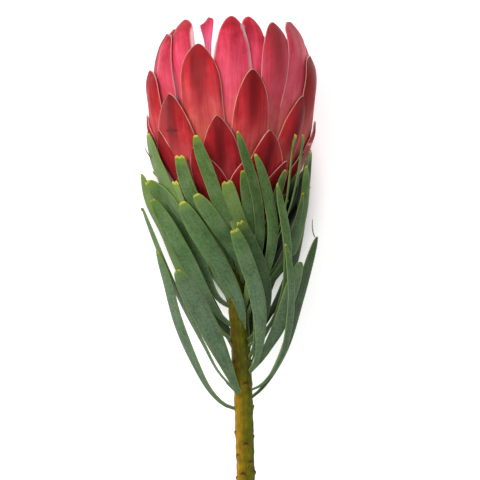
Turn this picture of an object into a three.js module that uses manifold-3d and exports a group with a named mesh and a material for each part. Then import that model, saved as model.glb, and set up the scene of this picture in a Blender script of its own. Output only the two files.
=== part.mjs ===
// A cut protea flower with its leafy stem, lying on its back. Millimetres.
//
// Every shape is first described on an upright flower: x runs to the right, h runs up from
// the base of the head, and f runs forwards. The last step lays the flower down.
import * as THREE from 'three';
import createManifold from 'manifold-3d';

const kernel = await createManifold();
kernel.setup();

// The head.
const HEAD_RADIUS = 42.6;
const WIDEST_FROM = 68;
const WIDEST_TO = 75;
const LOWER_LENGTH = 70.5;
const UPPER_LENGTH = 48;
const BRACT_THICKNESS = 1.0;
const LAYER_SPACING = 2.1;
const LAYER_BLEND = 26;
const BRACT_CUP = 0.35;
const ROOT_RISE = 9;

// How it lies: the head's middle line above the surface, and the height on the head that
// rests there. The underside is pressed flat where it would go below the surface.
const AXIS_HEIGHT = 41.1;
const REST_HEIGHT = 64;

// The receptacle that carries the bracts: [radius, height].
const RECEPTACLE = [
  [4.8, -1.6], [7, 2], [11.5, 8], [15.5, 14], [18.2, 20], [18, 24], [14, 27.5], [7, 29.6],
];

// The bundle of florets: [radius, height].
const FLORET_CORE = [
  [6, 30.1], [13.6, 28.2], [18, 25.6], [21, 32], [24.5, 42], [27.4, 55], [27.6, 68],
  [24.5, 77], [18, 83], [9, 86.5],
];
const FLORET_COUNT = 52;
const FLORET_LENGTH = 9;
const FLORET_RADIUS = 2.2;

// The stem.
const STEM_BOTTOM = -127;
const STEM_TOP = -2.0;
const STEM_SIDES = 10;
const STEM_LEAN = 9;
const STEM_LEAN_LENGTH = 68;
const STEM_DROOP = 3;

// The leaves.
const LEAF_THICKNESS = 0.9;
const LEAF_CUP = 0.16;
const LEAF_CLEARANCE = 1.25;
const SURFACE_CLEARANCE = 0.02;

const GOLDEN_ANGLE = 137.508;

const radians = (degrees) => (degrees * Math.PI) / 180;
const mix = (a, b, t) => a + (b - a) * t;
const smooth = (t) => {
  const u = Math.min(1, Math.max(0, t));
  return u * u * (3 - 2 * u);
};

// Seeded draws between two values, the same at every run.
function drawsFrom(seed) {
  let state = seed;
  return (low, high) => {
    state = (state * 1664525 + 1013904223) % 4294967296;
    return mix(low, high, state / 4294967296);
  };
}

// Straight-line reading of a profile given as [value, height] pairs that rise in height.
function readProfile(profile, height) {
  if (height <= profile[0][1]) {
    return profile[0][0];
  }
  for (let i = 1; i < profile.length; i += 1) {
    const [value, top] = profile[i];
    const [before, bottom] = profile[i - 1];
    if (height <= top) {
      return mix(before, value, (height - bottom) / (top - bottom));
    }
  }
  return profile[profile.length - 1][0];
}

// The bracts, row by row from the outermost and lowest to the innermost and tallest.
// Each row gives where its bracts are rooted, the length of the taper at the tip, how rounded
// the tip is, how spoon-shaped the bract is, and the bracts themselves as [azimuth, tip height,
// width, sideways lean of the tip, how far they stand proud of the row, how blunt they end].
// Azimuth 0 faces forwards. A blunt bract keeps its width closer to its tip. One blunter than 1
// also has a waist below its end and stands up straight. A gap in the ring wider than
// 84 degrees is filled evenly with bracts drawn between the row's limits.
const ROWS = [
  {
    root: 1,
    taper: 9,
    rounded: 0,
    spoon: 0,
    tips: [15, 19],
    width: 9,
    bracts: [
      [10, 17, 9, 0],
    ],
  },
  {
    root: 3,
    taper: 12,
    rounded: 0,
    spoon: 0,
    tips: [23, 28],
    width: 12,
    bracts: [
      [-8, 26, 12, 0], [26, 30, 13, 0],
    ],
  },
  {
    root: 6,
    taper: 16,
    rounded: 0.3,
    spoon: 0,
    tips: [29, 34],
    width: 14,
    bracts: [
      [-14, 25, 13, 0], [12, 40, 17, 0], [44, 39.5, 16, 2.2],
    ],
  },
  {
    root: 9,
    taper: 20,
    rounded: 0.35,
    spoon: 0,
    tips: [42, 53],
    width: 15,
    bracts: [
      [-58, 55, 16, -3.4], [-18, 46, 19, -8], [31.4, 54.7, 22.3, -2.4, 0.2, -0.35],
      [68, 44, 14, 0], [163, 50, 15, 0], [197, 50, 15, 0],
    ],
  },
  {
    root: 12,
    taper: 25,
    rounded: 0.4,
    spoon: 0,
    tips: [60, 72],
    width: 17,
    bracts: [
      [-82, 62.5, 16, -1, 1.3, 0.3], [-46, 73, 27, 0, 1.1, 0.1], [-7.7, 62.1, 21, -1.5],
      [51.7, 72.1, 18.5, 7, -0.4, 0.6], [82, 59.5, 15, 3, 1.1], [180, 76, 19, 0],
    ],
  },
  {
    root: 15,
    taper: 28,
    rounded: 0.6,
    spoon: 0,
    tips: [82, 93],
    width: 21,
    bracts: [
      [-75.7, 85, 22.4, 1.4, 1.7, 0.95], [-21, 97.8, 23.7, -3.9, -0.2, 0.3],
      [15, 85, 20.4, 0.3], [70.8, 92.4, 18.8, 5.4, 1.6, 1],
    ],
  },
  {
    root: 18,
    taper: 22,
    rounded: 0.85,
    spoon: 0,
    tips: [103, 109],
    width: 18,
    bracts: [
      [-78, 103.5, 13.1, -1.8, -0.5, -0.4], [-56.7, 102.6, 16, -4.1, 0.9, 0.5],
      [-32.5, 110.4, 15.3, -12.7, -0.7, 0.95], [1.8, 111.8, 20, -0.7, -0.2, -0.3],
      [32.5, 108.8, 17.8, 6, 0.9, 0.1], [54.3, 109.6, 22.5, 13, 1.6, 1], [173, 110, 18, 0],
      [-132, 109, 16, 0], [-112, 106, 13, 0.3, 0, -0.3],
    ],
  },
  {
    root: 20,
    taper: 20,
    rounded: 1,
    spoon: 1,
    tips: [104, 109],
    width: 16,
    bracts: [
      [-8, 101.3, 8, -1.2], [19, 111.6, 13.4, 0.4, 0.2, 0.4], [84, 104, 17, 0],
      [-56, 105.7, 11.3, -5.6, 0.6, -0.3], [-163, 111.6, 6.2, 2, 0, 1.25], [96, 107, 15, 0],
      [128, 106, 15, 0], [156, 108, 14, 0], [-118, 106, 13, 0], [-98, 98, 13, 0],
    ],
  },
];

// Completes a ring of bracts whose front members are given.
function fillRow(row, draw) {
  const placed = row.bracts
    .map(([azimuth, tip, width, lean, proud = 0, blunt = 0]) => ({
      azimuth: (azimuth + 360) % 360, tip, width, lean, proud, blunt,
    }))
    .sort((a, b) => a.azimuth - b.azimuth);
  const step = Math.max(38, (row.width * 1.42 * 180) / (Math.PI * HEAD_RADIUS));
  const filled = [];
  placed.forEach((bract, i) => {
    filled.push(bract);
    const next = i + 1 < placed.length ? placed[i + 1].azimuth : placed[0].azimuth + 360;
    const gap = next - bract.azimuth;
    const extra = gap > 84 ? Math.round(gap / step) - 1 : 0;
    for (let k = 1; k <= extra; k += 1) {
      filled.push({
        azimuth: bract.azimuth + (gap * k) / (extra + 1) + draw(-2, 2),
        tip: draw(row.tips[0], row.tips[1]),
        width: row.width * draw(0.94, 1.06),
        lean: draw(-1.5, 1.5),
        proud: 0,
        blunt: 0,
      });
    }
  });
  return filled;
}

const bractDraw = drawsFrom(41);
ROWS.forEach((row) => {
  row.ring = fillRow(row, bractDraw);
});

// The outside of the head: half an ellipse below, a short straight, half an ellipse above.
function headRadius(height) {
  const below = (WIDEST_FROM - height) / LOWER_LENGTH;
  const above = (height - WIDEST_TO) / UPPER_LENGTH;
  const rise = Math.max(0, below, above);
  return HEAD_RADIUS * Math.sqrt(Math.max(0.002, 1 - rise * rise));
}

// The same outside with the underside pressed flat against the surface.
function pressedRadius(azimuth, height) {
  const down = -Math.cos(azimuth);
  const radius = headRadius(height);
  return down > 0.5 ? Math.min(radius, AXIS_HEIGHT / down) : radius;
}

// How high a row reaches at one azimuth: the outline of its bracts side by side.
function rowTop(row, azimuth) {
  return Math.max(...row.ring.map((bract) => {
    let turn = Math.abs(azimuth - radians(bract.azimuth)) % (2 * Math.PI);
    turn = Math.min(turn, 2 * Math.PI - turn);
    return bract.tip - 1.6 * Math.max(0, turn * HEAD_RADIUS - 3);
  }));
}

// How many layers of bracts lie outside a row at one place, blended above their tips.
function layersOutside(rowIndex, azimuth, height) {
  return ROWS.slice(0, rowIndex).reduce((sum, row) => (
    sum + smooth((rowTop(row, azimuth) + LAYER_BLEND - height) / LAYER_BLEND)
  ), 0);
}

// Half the width of a bract at a height, pointed or rounded at the tip.
function bractHalfWidth(row, bract, height) {
  const taper = row.taper * (1 - 0.75 * bract.blunt);
  const fromTip = Math.min(1, Math.max(0, (bract.tip - height) / taper));
  const pointed = 1 - (1 - fromTip) ** 2;
  const rounded = Math.sqrt(pointed);
  const fromRoot = (height - row.root) / (bract.tip - row.root);
  const strap = mix(0.5, 1, smooth(fromRoot / 0.45));
  const spoon = mix(0.35, 1, smooth((fromRoot - 0.55) / 0.42));
  const narrowing = mix(strap, spoon, row.spoon);
  const waist = 1 - 1.7 * Math.max(0, bract.blunt - 1) * smooth((bract.tip - height) / 14);
  return (bract.width / 2) * waist * narrowing * mix(pointed, rounded, row.rounded);
}

// A point on the outer face of a bract, at a height and from -1 to 1 across it.
function bractPoint(rowIndex, bract, height, across) {
  const row = ROWS[rowIndex];
  const centre = radians(bract.azimuth);
  const plain = headRadius(height) - LAYER_SPACING * layersOutside(rowIndex, centre, height);
  const share = (height - row.root) / (bract.tip - row.root);
  const leaning = bract.lean * share ** 4;
  const straightened = 36 * Math.max(0, bract.blunt - 1) * share ** 8;
  const sideways = across * bractHalfWidth(row, bract, height) + leaning;
  const azimuth = centre + sideways / Math.max(9, plain);
  const depth = LAYER_SPACING * layersOutside(rowIndex, azimuth, height);
  const outside = pressedRadius(azimuth, height) - depth + bract.proud + straightened;
  const inside = readProfile(RECEPTACLE.map(([r, h]) => [r, h]), height) - 2.2;
  const cup = depth > 0.01 || rowIndex > 4 ? BRACT_CUP * across * across : 0;
  const radius = mix(inside, outside - cup, smooth((height - row.root) / ROOT_RISE));
  return new THREE.Vector3(radius * Math.sin(azimuth), height, radius * Math.cos(azimuth));
}

// Outward normals of a grid of points whose last row is a single tip point.
function gridNormals(rows) {
  const full = rows.slice(0, -1);
  const normals = full.map((row, i) => row.map((point, j) => {
    const above = i + 1 < full.length ? full[i + 1][j] : rows[rows.length - 1][0];
    const below = i > 0 ? full[i - 1][j] : point;
    const right = row[Math.min(j + 1, row.length - 1)];
    const left = row[Math.max(j - 1, 0)];
    const up = above.clone().sub(below);
    return up.cross(right.clone().sub(left).negate()).normalize();
  }));
  const last = normals[normals.length - 1];
  normals.push([last[(last.length - 1) / 2].clone()]);
  return normals;
}

// Lays the upright flower down: forwards becomes up, and up the stem becomes along.
function layDown(point) {
  return [point.x, point.y - REST_HEIGHT, AXIS_HEIGHT + point.z];
}

function solidFrom(points, triangles) {
  const mesh = new kernel.Mesh({
    numProp: 3,
    vertProperties: new Float32Array(points.flatMap(layDown)),
    triVerts: new Uint32Array(triangles.flat()),
  });
  return new kernel.Manifold(mesh);
}

// A closed blade between two grids of points that are split into triangles alike.
// Both grids end in a single tip point.
function bladeSolid(front, back) {
  const columns = front[0].length;
  const full = front.length - 1;
  const side = full * columns + 1;
  const at = (i, j, face) => face * side + (i < full ? i * columns + j : full * columns);
  const points = [...front.flat(), ...back.flat()];
  const triangles = [];
  const quad = (a, b, c, d) => triangles.push([a, b, c], [a, c, d]);
  for (let i = 0; i < full - 1; i += 1) {
    for (let j = 0; j < columns - 1; j += 1) {
      const corners = [[i, j], [i, j + 1], [i + 1, j + 1], [i + 1, j]];
      const turned = j < (columns - 1) / 2 ? [1, 2, 3, 0] : [0, 1, 2, 3];
      const [a, b, c, d] = turned.map((k) => corners[k]);
      quad(at(...a, 0), at(...b, 0), at(...c, 0), at(...d, 0));
      triangles.push([at(...a, 1), at(...c, 1), at(...b, 1)]);
      triangles.push([at(...a, 1), at(...d, 1), at(...c, 1)]);
    }
    quad(at(i, 0, 0), at(i + 1, 0, 0), at(i + 1, 0, 1), at(i, 0, 1));
    const last = columns - 1;
    quad(at(i + 1, last, 0), at(i, last, 0), at(i, last, 1), at(i + 1, last, 1));
  }
  for (let j = 0; j < columns - 1; j += 1) {
    triangles.push([at(full - 1, j, 0), at(full - 1, j + 1, 0), at(full, 0, 0)]);
    triangles.push([at(full - 1, j + 1, 1), at(full - 1, j, 1), at(full, 0, 1)]);
    quad(at(0, j + 1, 0), at(0, j, 0), at(0, j, 1), at(0, j + 1, 1));
  }
  const tipEdge = columns - 1;
  quad(at(full - 1, 0, 0), at(full, 0, 0), at(full, 0, 1), at(full - 1, 0, 1));
  quad(at(full, 0, 0), at(full - 1, tipEdge, 0), at(full - 1, tipEdge, 1), at(full, 0, 1));
  return solidFrom(points, triangles);
}

// A solid of rings closed by a centre point at each end. Rings run up the flower.
function ringSolid(rings, bottom, top) {
  const sides = rings[0].length;
  const points = [...rings.flat(), bottom, top];
  const triangles = [];
  const lastRing = (rings.length - 1) * sides;
  for (let k = 0; k < sides; k += 1) {
    const next = (k + 1) % sides;
    for (let i = 0; i < rings.length - 1; i += 1) {
      const a = i * sides + k;
      const b = i * sides + next;
      triangles.push([a, b, b + sides], [a, b + sides, a + sides]);
    }
    triangles.push([rings.length * sides, next, k]);
    triangles.push([rings.length * sides + 1, lastRing + k, lastRing + next]);
  }
  return solidFrom(points, triangles);
}

// A lathed solid round the head's middle line.
function lathe(profile, sides) {
  const rings = profile.map(([radius, height]) => Array.from({ length: sides }, (_, k) => {
    const azimuth = (2 * Math.PI * k) / sides;
    return new THREE.Vector3(radius * Math.sin(azimuth), height, radius * Math.cos(azimuth));
  }));
  const bottom = new THREE.Vector3(0, profile[0][1], 0);
  const top = new THREE.Vector3(0, profile[profile.length - 1][1], 0);
  return ringSolid(rings, bottom, top);
}

function bractSolid(rowIndex, bract) {
  const row = ROWS[rowIndex];
  const shoulder = bract.tip - row.taper;
  const lower = shoulder - row.root > 25 ? [0, 0.35, 0.7] : [0];
  const heights = [
    ...lower.map((t) => mix(row.root, shoulder, t)),
    shoulder,
    ...[0.54, 0.24, 0.06].map((t) => bract.tip - t * row.taper),
  ];
  const front = heights.map((h) => [-1, 0, 1].map((t) => bractPoint(rowIndex, bract, h, t)));
  front.push([bractPoint(rowIndex, bract, bract.tip, 0)]);
  const normals = gridNormals(front);
  const back = front.map((points, i) => points.map((point, j) => (
    point.clone().addScaledVector(normals[i][j], -BRACT_THICKNESS)
  )));
  return bladeSolid(front, back);
}

// Leaves seen from the front. Each gives its path as [x, height] from the root to the tip,
// how far forward of the stem the tip stands, how far the blade lies above the head or above
// the leaves beneath it, its width, and the azimuth that the blade faces.
const FRONT_LEAVES = [
  { path: [[3, -85.2], [-3, -82.8], [-10.4, -75.8], [-18.8, -60.5], [-27, -40.5], [-32.3, -20.5],
    [-37, -5.5]],
    forward: 6, above: 0, width: 6.8, faces: -50 },
  { path: [[3, -77.5], [-6.5, -66], [-13.5, -53], [-24.8, -31.5], [-34.5, -10], [-42.3, 10],
    [-44.4, 16]],
    forward: 2, above: 0, width: 5.2, faces: -68 },
  { path: [[6, -82.5], [2.3, -73.5], [-6.2, -54.6], [-15.8, -35], [-21.5, -25], [-27, -15]],
    forward: 24, above: 0, width: 10.4, faces: -18 },
  { path: [[2.5, -44.5], [-5.5, -38], [-14, -25], [-25, -5], [-33.5, 10], [-39.5, 20.5]],
    forward: 13, above: 2, width: 8.5, faces: -30 },
  { path: [[1, -51.5], [-3, -47.6], [-12, -37], [-24.6, -16.5], [-33.6, 5], [-41.2, 20],
    [-44.7, 33]],
    forward: 2, above: 1, width: 7.5, faces: -48 },
  { path: [[1, -30], [-6.5, -20], [-17, -4.5], [-28.5, 13], [-35, 22], [-42, 29.5]],
    forward: 8, above: 1.2, width: 10.5, faces: -38 },
  { path: [[6.5, -51], [5, -35], [1, -25], [-10.7, -5], [-19, 8.5], [-24.5, 19]],
    forward: 22, above: 3.2, width: 10, faces: -22 },
  { path: [[7, -24], [6, -15], [0, -3], [-8.5, 10], [-17.5, 22.7]],
    forward: 28, above: 2.6, width: 8, faces: -18 },
  { path: [[0, -33], [-6, -22], [-24, 8], [-33.8, 30], [-38, 40], [-41.6, 53.5]],
    forward: 10, above: 0.9, width: 8, faces: -48 },
  { path: [[3, -20], [-5, 0], [-17, 17], [-22.5, 29], [-25.7, 41.7]],
    forward: 30, above: 0.8, width: 7.5, faces: -28 },
  { path: [[5, -22], [1, 2], [-5.5, 17], [-12, 35], [-15.7, 45], [-17.5, 52]],
    forward: 40, above: 1.8, width: 7, faces: -15 },
  { path: [[0, -27], [-15, -2], [-25, 18.5], [-28, 29]],
    forward: 22, above: 0, width: 5.5, faces: -35 },
  { path: [[8, -38], [11, -6.5], [7, 1], [2, 14], [-2, 29]],
    forward: 36, above: 1.6, width: 8, faces: 0 },
  { path: [[7, -35], [14, -5], [13.7, 15], [12, 25], [9.2, 35], [6, 45], [3.2, 54]],
    forward: 42, above: 2, width: 5.2, faces: 5 },
  { path: [[8, -42], [18, -14], [21, 4], [19.2, 18.5], [15, 35], [12, 42.7]],
    forward: 37, above: 1.2, width: 5.5, faces: 18 },
  { path: [[7, -24], [9, 0], [8.5, 14], [7, 27.5], [6, 34.5]],
    forward: 36, above: 0.4, width: 5.5, faces: 5 },
  { path: [[8, -20], [15, 0], [20.5, 12], [23.5, 23.5], [27, 35]],
    forward: 26, above: 0, width: 4.5, faces: 20 },
  { path: [[9, -55], [20, -42], [27, -25], [28.5, -8], [27, 7.5], [24.5, 20], [23, 28]],
    forward: 29, above: 2.2, width: 5, faces: 38 },
  { path: [[8, -30], [19.5, -4], [26.5, 13], [29.5, 32.5], [31, 47.5], [32.2, 52]],
    forward: 30, above: 2.4, width: 5, faces: 82 },
  { path: [[8, -34], [21, -4], [29.5, 16], [33.7, 34], [35.5, 47.5], [36, 52.5]],
    forward: 26, above: 2, width: 5, faces: 84 },
  { path: [[8.5, -56], [18, -40], [29.6, -17], [33.6, 0], [36.7, 22], [38.7, 38], [39.8, 44.5]],
    forward: 10, above: 0, width: 7.8, faces: 50 },
  { path: [[9, -40], [21.5, -19], [30.2, -6.5], [35.3, 10], [37.4, 25], [37.6, 37]],
    forward: 16, above: 0.6, width: 6.5, faces: 46 },
  { path: [[8, -36], [25, -10], [33, 9], [35, 17], [35.7, 23.5]],
    forward: 18, above: 1.6, width: 4.5, faces: 50 },
  { path: [[8, -68.5], [13, -60], [14.7, -45], [13, -27.5], [7.2, -9], [1.7, 5]],
    forward: 35, above: 0, width: 7.6, faces: 0 },
  { path: [[9, -52], [14.6, -44], [17.2, -29], [14.4, -14], [8, 1], [4.5, 9]],
    forward: 31, above: 3, width: 7.6, faces: 10 },
  { path: [[9, -76], [16, -72], [26, -56.6], [30.2, -30], [28.7, -9], [27, -2]],
    forward: 24, above: 0, width: 4.2, faces: 35 },
  { path: [[9, -80.5], [16, -73.8], [26.2, -56.5], [34.2, -30], [38.8, -13], [42.9, 1.5]],
    forward: 12, above: 0, width: 5.8, faces: 40 },
  { path: [[8, -68], [14.6, -60], [19.6, -51.8], [24.2, -43], [30.6, -24], [34.7, -11]],
    forward: 18, above: 0, width: 7.6, faces: 25 },
  { path: [[0, -34.5], [-6.4, -29.3], [-17.2, -8.6], [-31, 14], [-34, 20]],
    forward: 6, above: 0.6, width: 8.5, faces: -40 },
  { path: [[8, -26], [18, -10], [27, 6], [33, 20], [36.6, 35]],
    forward: 14, above: 0, width: 9.5, faces: 50 },
  { path: [[8, -32], [19, -15], [28, 2], [34, 16], [37, 27]],
    forward: 6, above: 0, width: 9, faces: 55 },
  { path: [[8, -20], [16, -6], [24, 8], [30, 22], [33, 33]],
    forward: 20, above: 0, width: 8, faces: 42 },
  { path: [[8, -62], [11, -55.5], [13.2, -48], [13.5, -36], [12, -20]],
    forward: 16, above: 0, width: 5, faces: 5 },
];

// Leaves of the far side follow the golden angle up the stem, except for three that turn aside.
// Those under the flower, within an angle of straight down, are spread until their tips rest
// on the surface beside the head.
const BACK_LEAVES = 15;
const TURNED_ASIDE = { 3: 132, 5: 196, 7: 207 };
const BACK_LEAF_LENGTH = 78;
const LEAF_SPREAD_DEGREES = 27;
const RESTING_DEGREES = 38;

function stemCentre(height) {
  const lean = STEM_LEAN * (1 - Math.exp(Math.min(0, height) / STEM_LEAN_LENGTH));
  const droop = STEM_DROOP * (Math.min(0, height) / STEM_BOTTOM) ** 2;
  return new THREE.Vector3(lean, height, -droop);
}

function stemRadius(height) {
  return mix(4.6, 5, smooth((height - STEM_BOTTOM) / 100));
}

function backLeaves() {
  const draw = drawsFrom(7);
  const leaves = [];
  for (let i = 0; i < BACK_LEAVES; i += 1) {
    const share = ((i * GOLDEN_ANGLE) % 360) / 360;
    const azimuth = radians(TURNED_ASIDE[i] ?? mix(92, 268, share));
    const root = mix(-80, -22, (i + 0.5) / BACK_LEAVES);
    const length = BACK_LEAF_LENGTH * draw(0.88, 1.1);
    const tip = Math.min(root + length * Math.cos(radians(LEAF_SPREAD_DEGREES)), 34);
    const spread = length * Math.sin(radians(LEAF_SPREAD_DEGREES)) + 3;
    const reach = Math.max(spread, headRadius(tip) + 2);
    const start = stemCentre(root);
    const tipX = reach * Math.sin(azimuth);
    const resting = -Math.cos(azimuth) > Math.cos(radians(RESTING_DEGREES));
    leaves.push({
      path: [
        [start.x + 2 * Math.sin(azimuth), root],
        [mix(start.x, tipX, 0.14), mix(root, tip, 0.25)],
        [mix(start.x, tipX, 0.42) + draw(-1, 1), mix(root, tip, 0.52)],
        [tipX, tip],
      ],
      forward: resting ? -AXIS_HEIGHT : reach * Math.cos(azimuth),
      above: (i % 3) * 0.8,
      width: draw(8, 10.5),
      faces: (azimuth * 180) / Math.PI,
    });
  }
  return leaves;
}

function leafHalfWidth(width, along) {
  const stalk = mix(0.24, 1, smooth(along / 0.58));
  const tip = Math.sqrt(Math.max(0, 1 - Math.max(0, (along - 0.74) / 0.26) ** 2));
  return (width / 2) * stalk * tip;
}

// Moves a point out of the head, forwards or backwards only, and up off the surface that
// the flower lies on.
function clearOfHead(point, side, above) {
  const azimuth = Math.atan2(point.x, point.z);
  const radius = Math.hypot(point.x, point.z);
  const clearance = LEAF_CLEARANCE + above;
  const least = point.y > -4 ? pressedRadius(azimuth, point.y) + clearance : 0;
  const clear = Math.sqrt(Math.max(0, least * least - point.x * point.x));
  const depth = radius < least ? side * clear : point.z;
  const lowest = LEAF_THICKNESS / 2 + SURFACE_CLEARANCE - AXIS_HEIGHT;
  return new THREE.Vector3(point.x, point.y, Math.max(lowest, depth));
}

// The middle line of a leaf: its path, rooted in the stem and brought forwards evenly.
function leafCurve(leaf) {
  const side = Math.sign(leaf.forward);
  const stem = stemCentre(leaf.path[0][1]);
  const start = stem.z + 1.5 * side;
  const lengths = [0];
  for (let i = 1; i < leaf.path.length; i += 1) {
    const [x, height] = leaf.path[i];
    const [lastX, lastHeight] = leaf.path[i - 1];
    lengths.push(lengths[i - 1] + Math.hypot(x - lastX, height - lastHeight));
  }
  const controls = leaf.path.map(([x, height], i) => {
    const share = lengths[i] / lengths[lengths.length - 1];
    const sunk = i === 0 ? Math.min(stem.x + 2, Math.max(stem.x - 2, x)) : x;
    return new THREE.Vector3(sunk, height, mix(start, leaf.forward, share ** 0.9));
  });
  return new THREE.CatmullRomCurve3(controls, false, 'centripetal');
}

function leafSolid(leaf) {
  const curve = leafCurve(leaf);
  const side = Math.sign(leaf.forward);
  const facing = radians(leaf.faces);
  const outwards = new THREE.Vector3(Math.sin(facing), 0, Math.cos(facing));
  const stations = [0, 0.16, 0.34, 0.52, 0.7, 0.86, 0.965];
  const middle = stations.map((s) => {
    const centre = curve.getPointAt(s);
    const along = curve.getTangentAt(s);
    const normal = outwards.clone().addScaledVector(along, -outwards.dot(along)).normalize();
    const across = along.clone().cross(normal);
    const half = leafHalfWidth(leaf.width, s);
    return [-1, 0, 1].map((t) => clearOfHead(
      centre.clone()
        .addScaledVector(across, t * half)
        .addScaledVector(normal, -LEAF_CUP * half * t * t),
      side,
      leaf.above,
    ));
  });
  middle.push([clearOfHead(curve.getPointAt(1), side, leaf.above)]);
  const normals = gridNormals(middle);
  const shifted = (distance) => middle.map((points, i) => points.map((point, j) => (
    point.clone().addScaledVector(normals[i][j], distance)
  )));
  return bladeSolid(shifted(LEAF_THICKNESS / 2), shifted(-LEAF_THICKNESS / 2));
}

function stemSolid() {
  const steps = 12;
  const rings = Array.from({ length: steps + 1 }, (_, i) => {
    const height = mix(STEM_BOTTOM, STEM_TOP, i / steps);
    const centre = stemCentre(height);
    const radius = stemRadius(height);
    return Array.from({ length: STEM_SIDES }, (__, k) => {
      const azimuth = (2 * Math.PI * k) / STEM_SIDES;
      return centre.clone().add(
        new THREE.Vector3(radius * Math.sin(azimuth), 0, radius * Math.cos(azimuth)),
      );
    });
  });
  return ringSolid(rings, stemCentre(STEM_BOTTOM), stemCentre(STEM_TOP));
}

// A leaf scar: a low crescent ledge on the stem, wide below and ending in a lip.
function scarSolid(azimuth, height) {
  const centre = stemCentre(height);
  const radius = stemRadius(height);
  const point = (turn, rise, out) => {
    const angle = azimuth + turn;
    const distance = radius + out;
    return new THREE.Vector3(
      centre.x + distance * Math.sin(angle),
      height + rise,
      centre.z + distance * Math.cos(angle),
    );
  };
  const points = [
    point(-0.55, -1.6, -0.6),
    point(0.55, -1.6, -0.6),
    point(0, 1.7, 0.75),
    point(0, -0.6, 1.0),
    point(0, 0.6, -1.6),
  ];
  const triangles = [[0, 1, 3], [1, 2, 3], [2, 0, 3], [1, 0, 4], [2, 1, 4], [0, 2, 4]];
  return solidFrom(points, triangles);
}

function scars() {
  const list = [];
  const spacing = 4.3;
  const count = Math.floor((-44 - STEM_BOTTOM - 3) / spacing);
  for (let i = 0; i < count; i += 1) {
    list.push(scarSolid(radians(i * GOLDEN_ANGLE + 25), STEM_BOTTOM + 3 + i * spacing));
  }
  return list;
}

// One floret standing out of the bundle, leaning towards the middle line.
function floretSolid(index) {
  const share = (index + 0.5) / FLORET_COUNT;
  const azimuth = radians(index * GOLDEN_ANGLE);
  const slope = radians(mix(8, 88, Math.sqrt(share)));
  const centre = new THREE.Vector3(0, 62, 0);
  const out = new THREE.Vector3(
    Math.sin(slope) * Math.sin(azimuth) * 25,
    Math.cos(slope) * 21,
    Math.sin(slope) * Math.cos(azimuth) * 25,
  );
  const foot = centre.clone().addScaledVector(out, 0.93);
  const up = out.clone().normalize().add(new THREE.Vector3(0, 1.6, 0)).normalize();
  const side = new THREE.Vector3(Math.cos(azimuth), 0, -Math.sin(azimuth));
  const front = side.clone().cross(up).normalize();
  const ring = (distance, radius) => [0, 1, 2, 3].map((k) => {
    const turn = (Math.PI / 2) * k;
    return foot.clone()
      .addScaledVector(up, distance)
      .addScaledVector(side, radius * Math.cos(turn))
      .addScaledVector(front, radius * Math.sin(turn));
  });
  const rings = [ring(-3, FLORET_RADIUS), ring(FLORET_LENGTH * 0.6, FLORET_RADIUS * 0.8)];
  const bottom = foot.clone().addScaledVector(up, -3.5);
  const top = foot.clone().addScaledVector(up, FLORET_LENGTH);
  return ringSolid(rings.map((points) => points.reverse()), bottom, top);
}

// Joins solids into one body, fills hollows that joining has sealed, drops loose scraps.
function joined(solids) {
  const pieces = kernel.Manifold.union(solids).decompose();
  pieces.sort((a, b) => b.volume() - a.volume());
  return pieces[0];
}

function meshFrom(name, solid, colour, roughness) {
  const { vertProperties, triVerts, numProp } = solid.getMesh();
  const count = vertProperties.length / numProp;
  const positions = new Float32Array(count * 3);
  for (let i = 0; i < count; i += 1) {
    positions.set(vertProperties.subarray(i * numProp, i * numProp + 3), i * 3);
  }
  const geometry = new THREE.BufferGeometry();
  geometry.setAttribute('position', new THREE.BufferAttribute(positions, 3));
  geometry.setIndex(new THREE.BufferAttribute(new Uint32Array(triVerts), 1));
  geometry.computeVertexNormals();
  const material = new THREE.MeshStandardMaterial({ color: colour, roughness, metalness: 0 });
  const mesh = new THREE.Mesh(geometry, material);
  mesh.name = name;
  return mesh;
}

const bracts = ROWS.flatMap((row, i) => row.ring.map((bract) => bractSolid(i, bract)));
const florets = Array.from({ length: FLORET_COUNT }, (_, i) => floretSolid(i));
const leaves = [...FRONT_LEAVES, ...backLeaves()].map(leafSolid);

const flower = new THREE.Group();
flower.name = 'protea_flower';
flower.add(
  meshFrom('flower_head', joined([lathe(RECEPTACLE, 14), ...bracts]), '#c8474f', 0.6),
  meshFrom('florets', joined([lathe(FLORET_CORE, 12), ...florets]), '#ead8cd', 0.8),
  meshFrom('leafy_stem', joined([stemSolid(), ...scars(), ...leaves]), '#587a4c', 0.55),
);

export default flower;
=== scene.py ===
# %% [markdown]
# # A cut protea flower
#
# The flower lies on its back on a pale table and the camera looks straight down on it. The
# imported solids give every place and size, so the first step loads them and keeps their box.

# %% Load the solids
import functools

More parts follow.
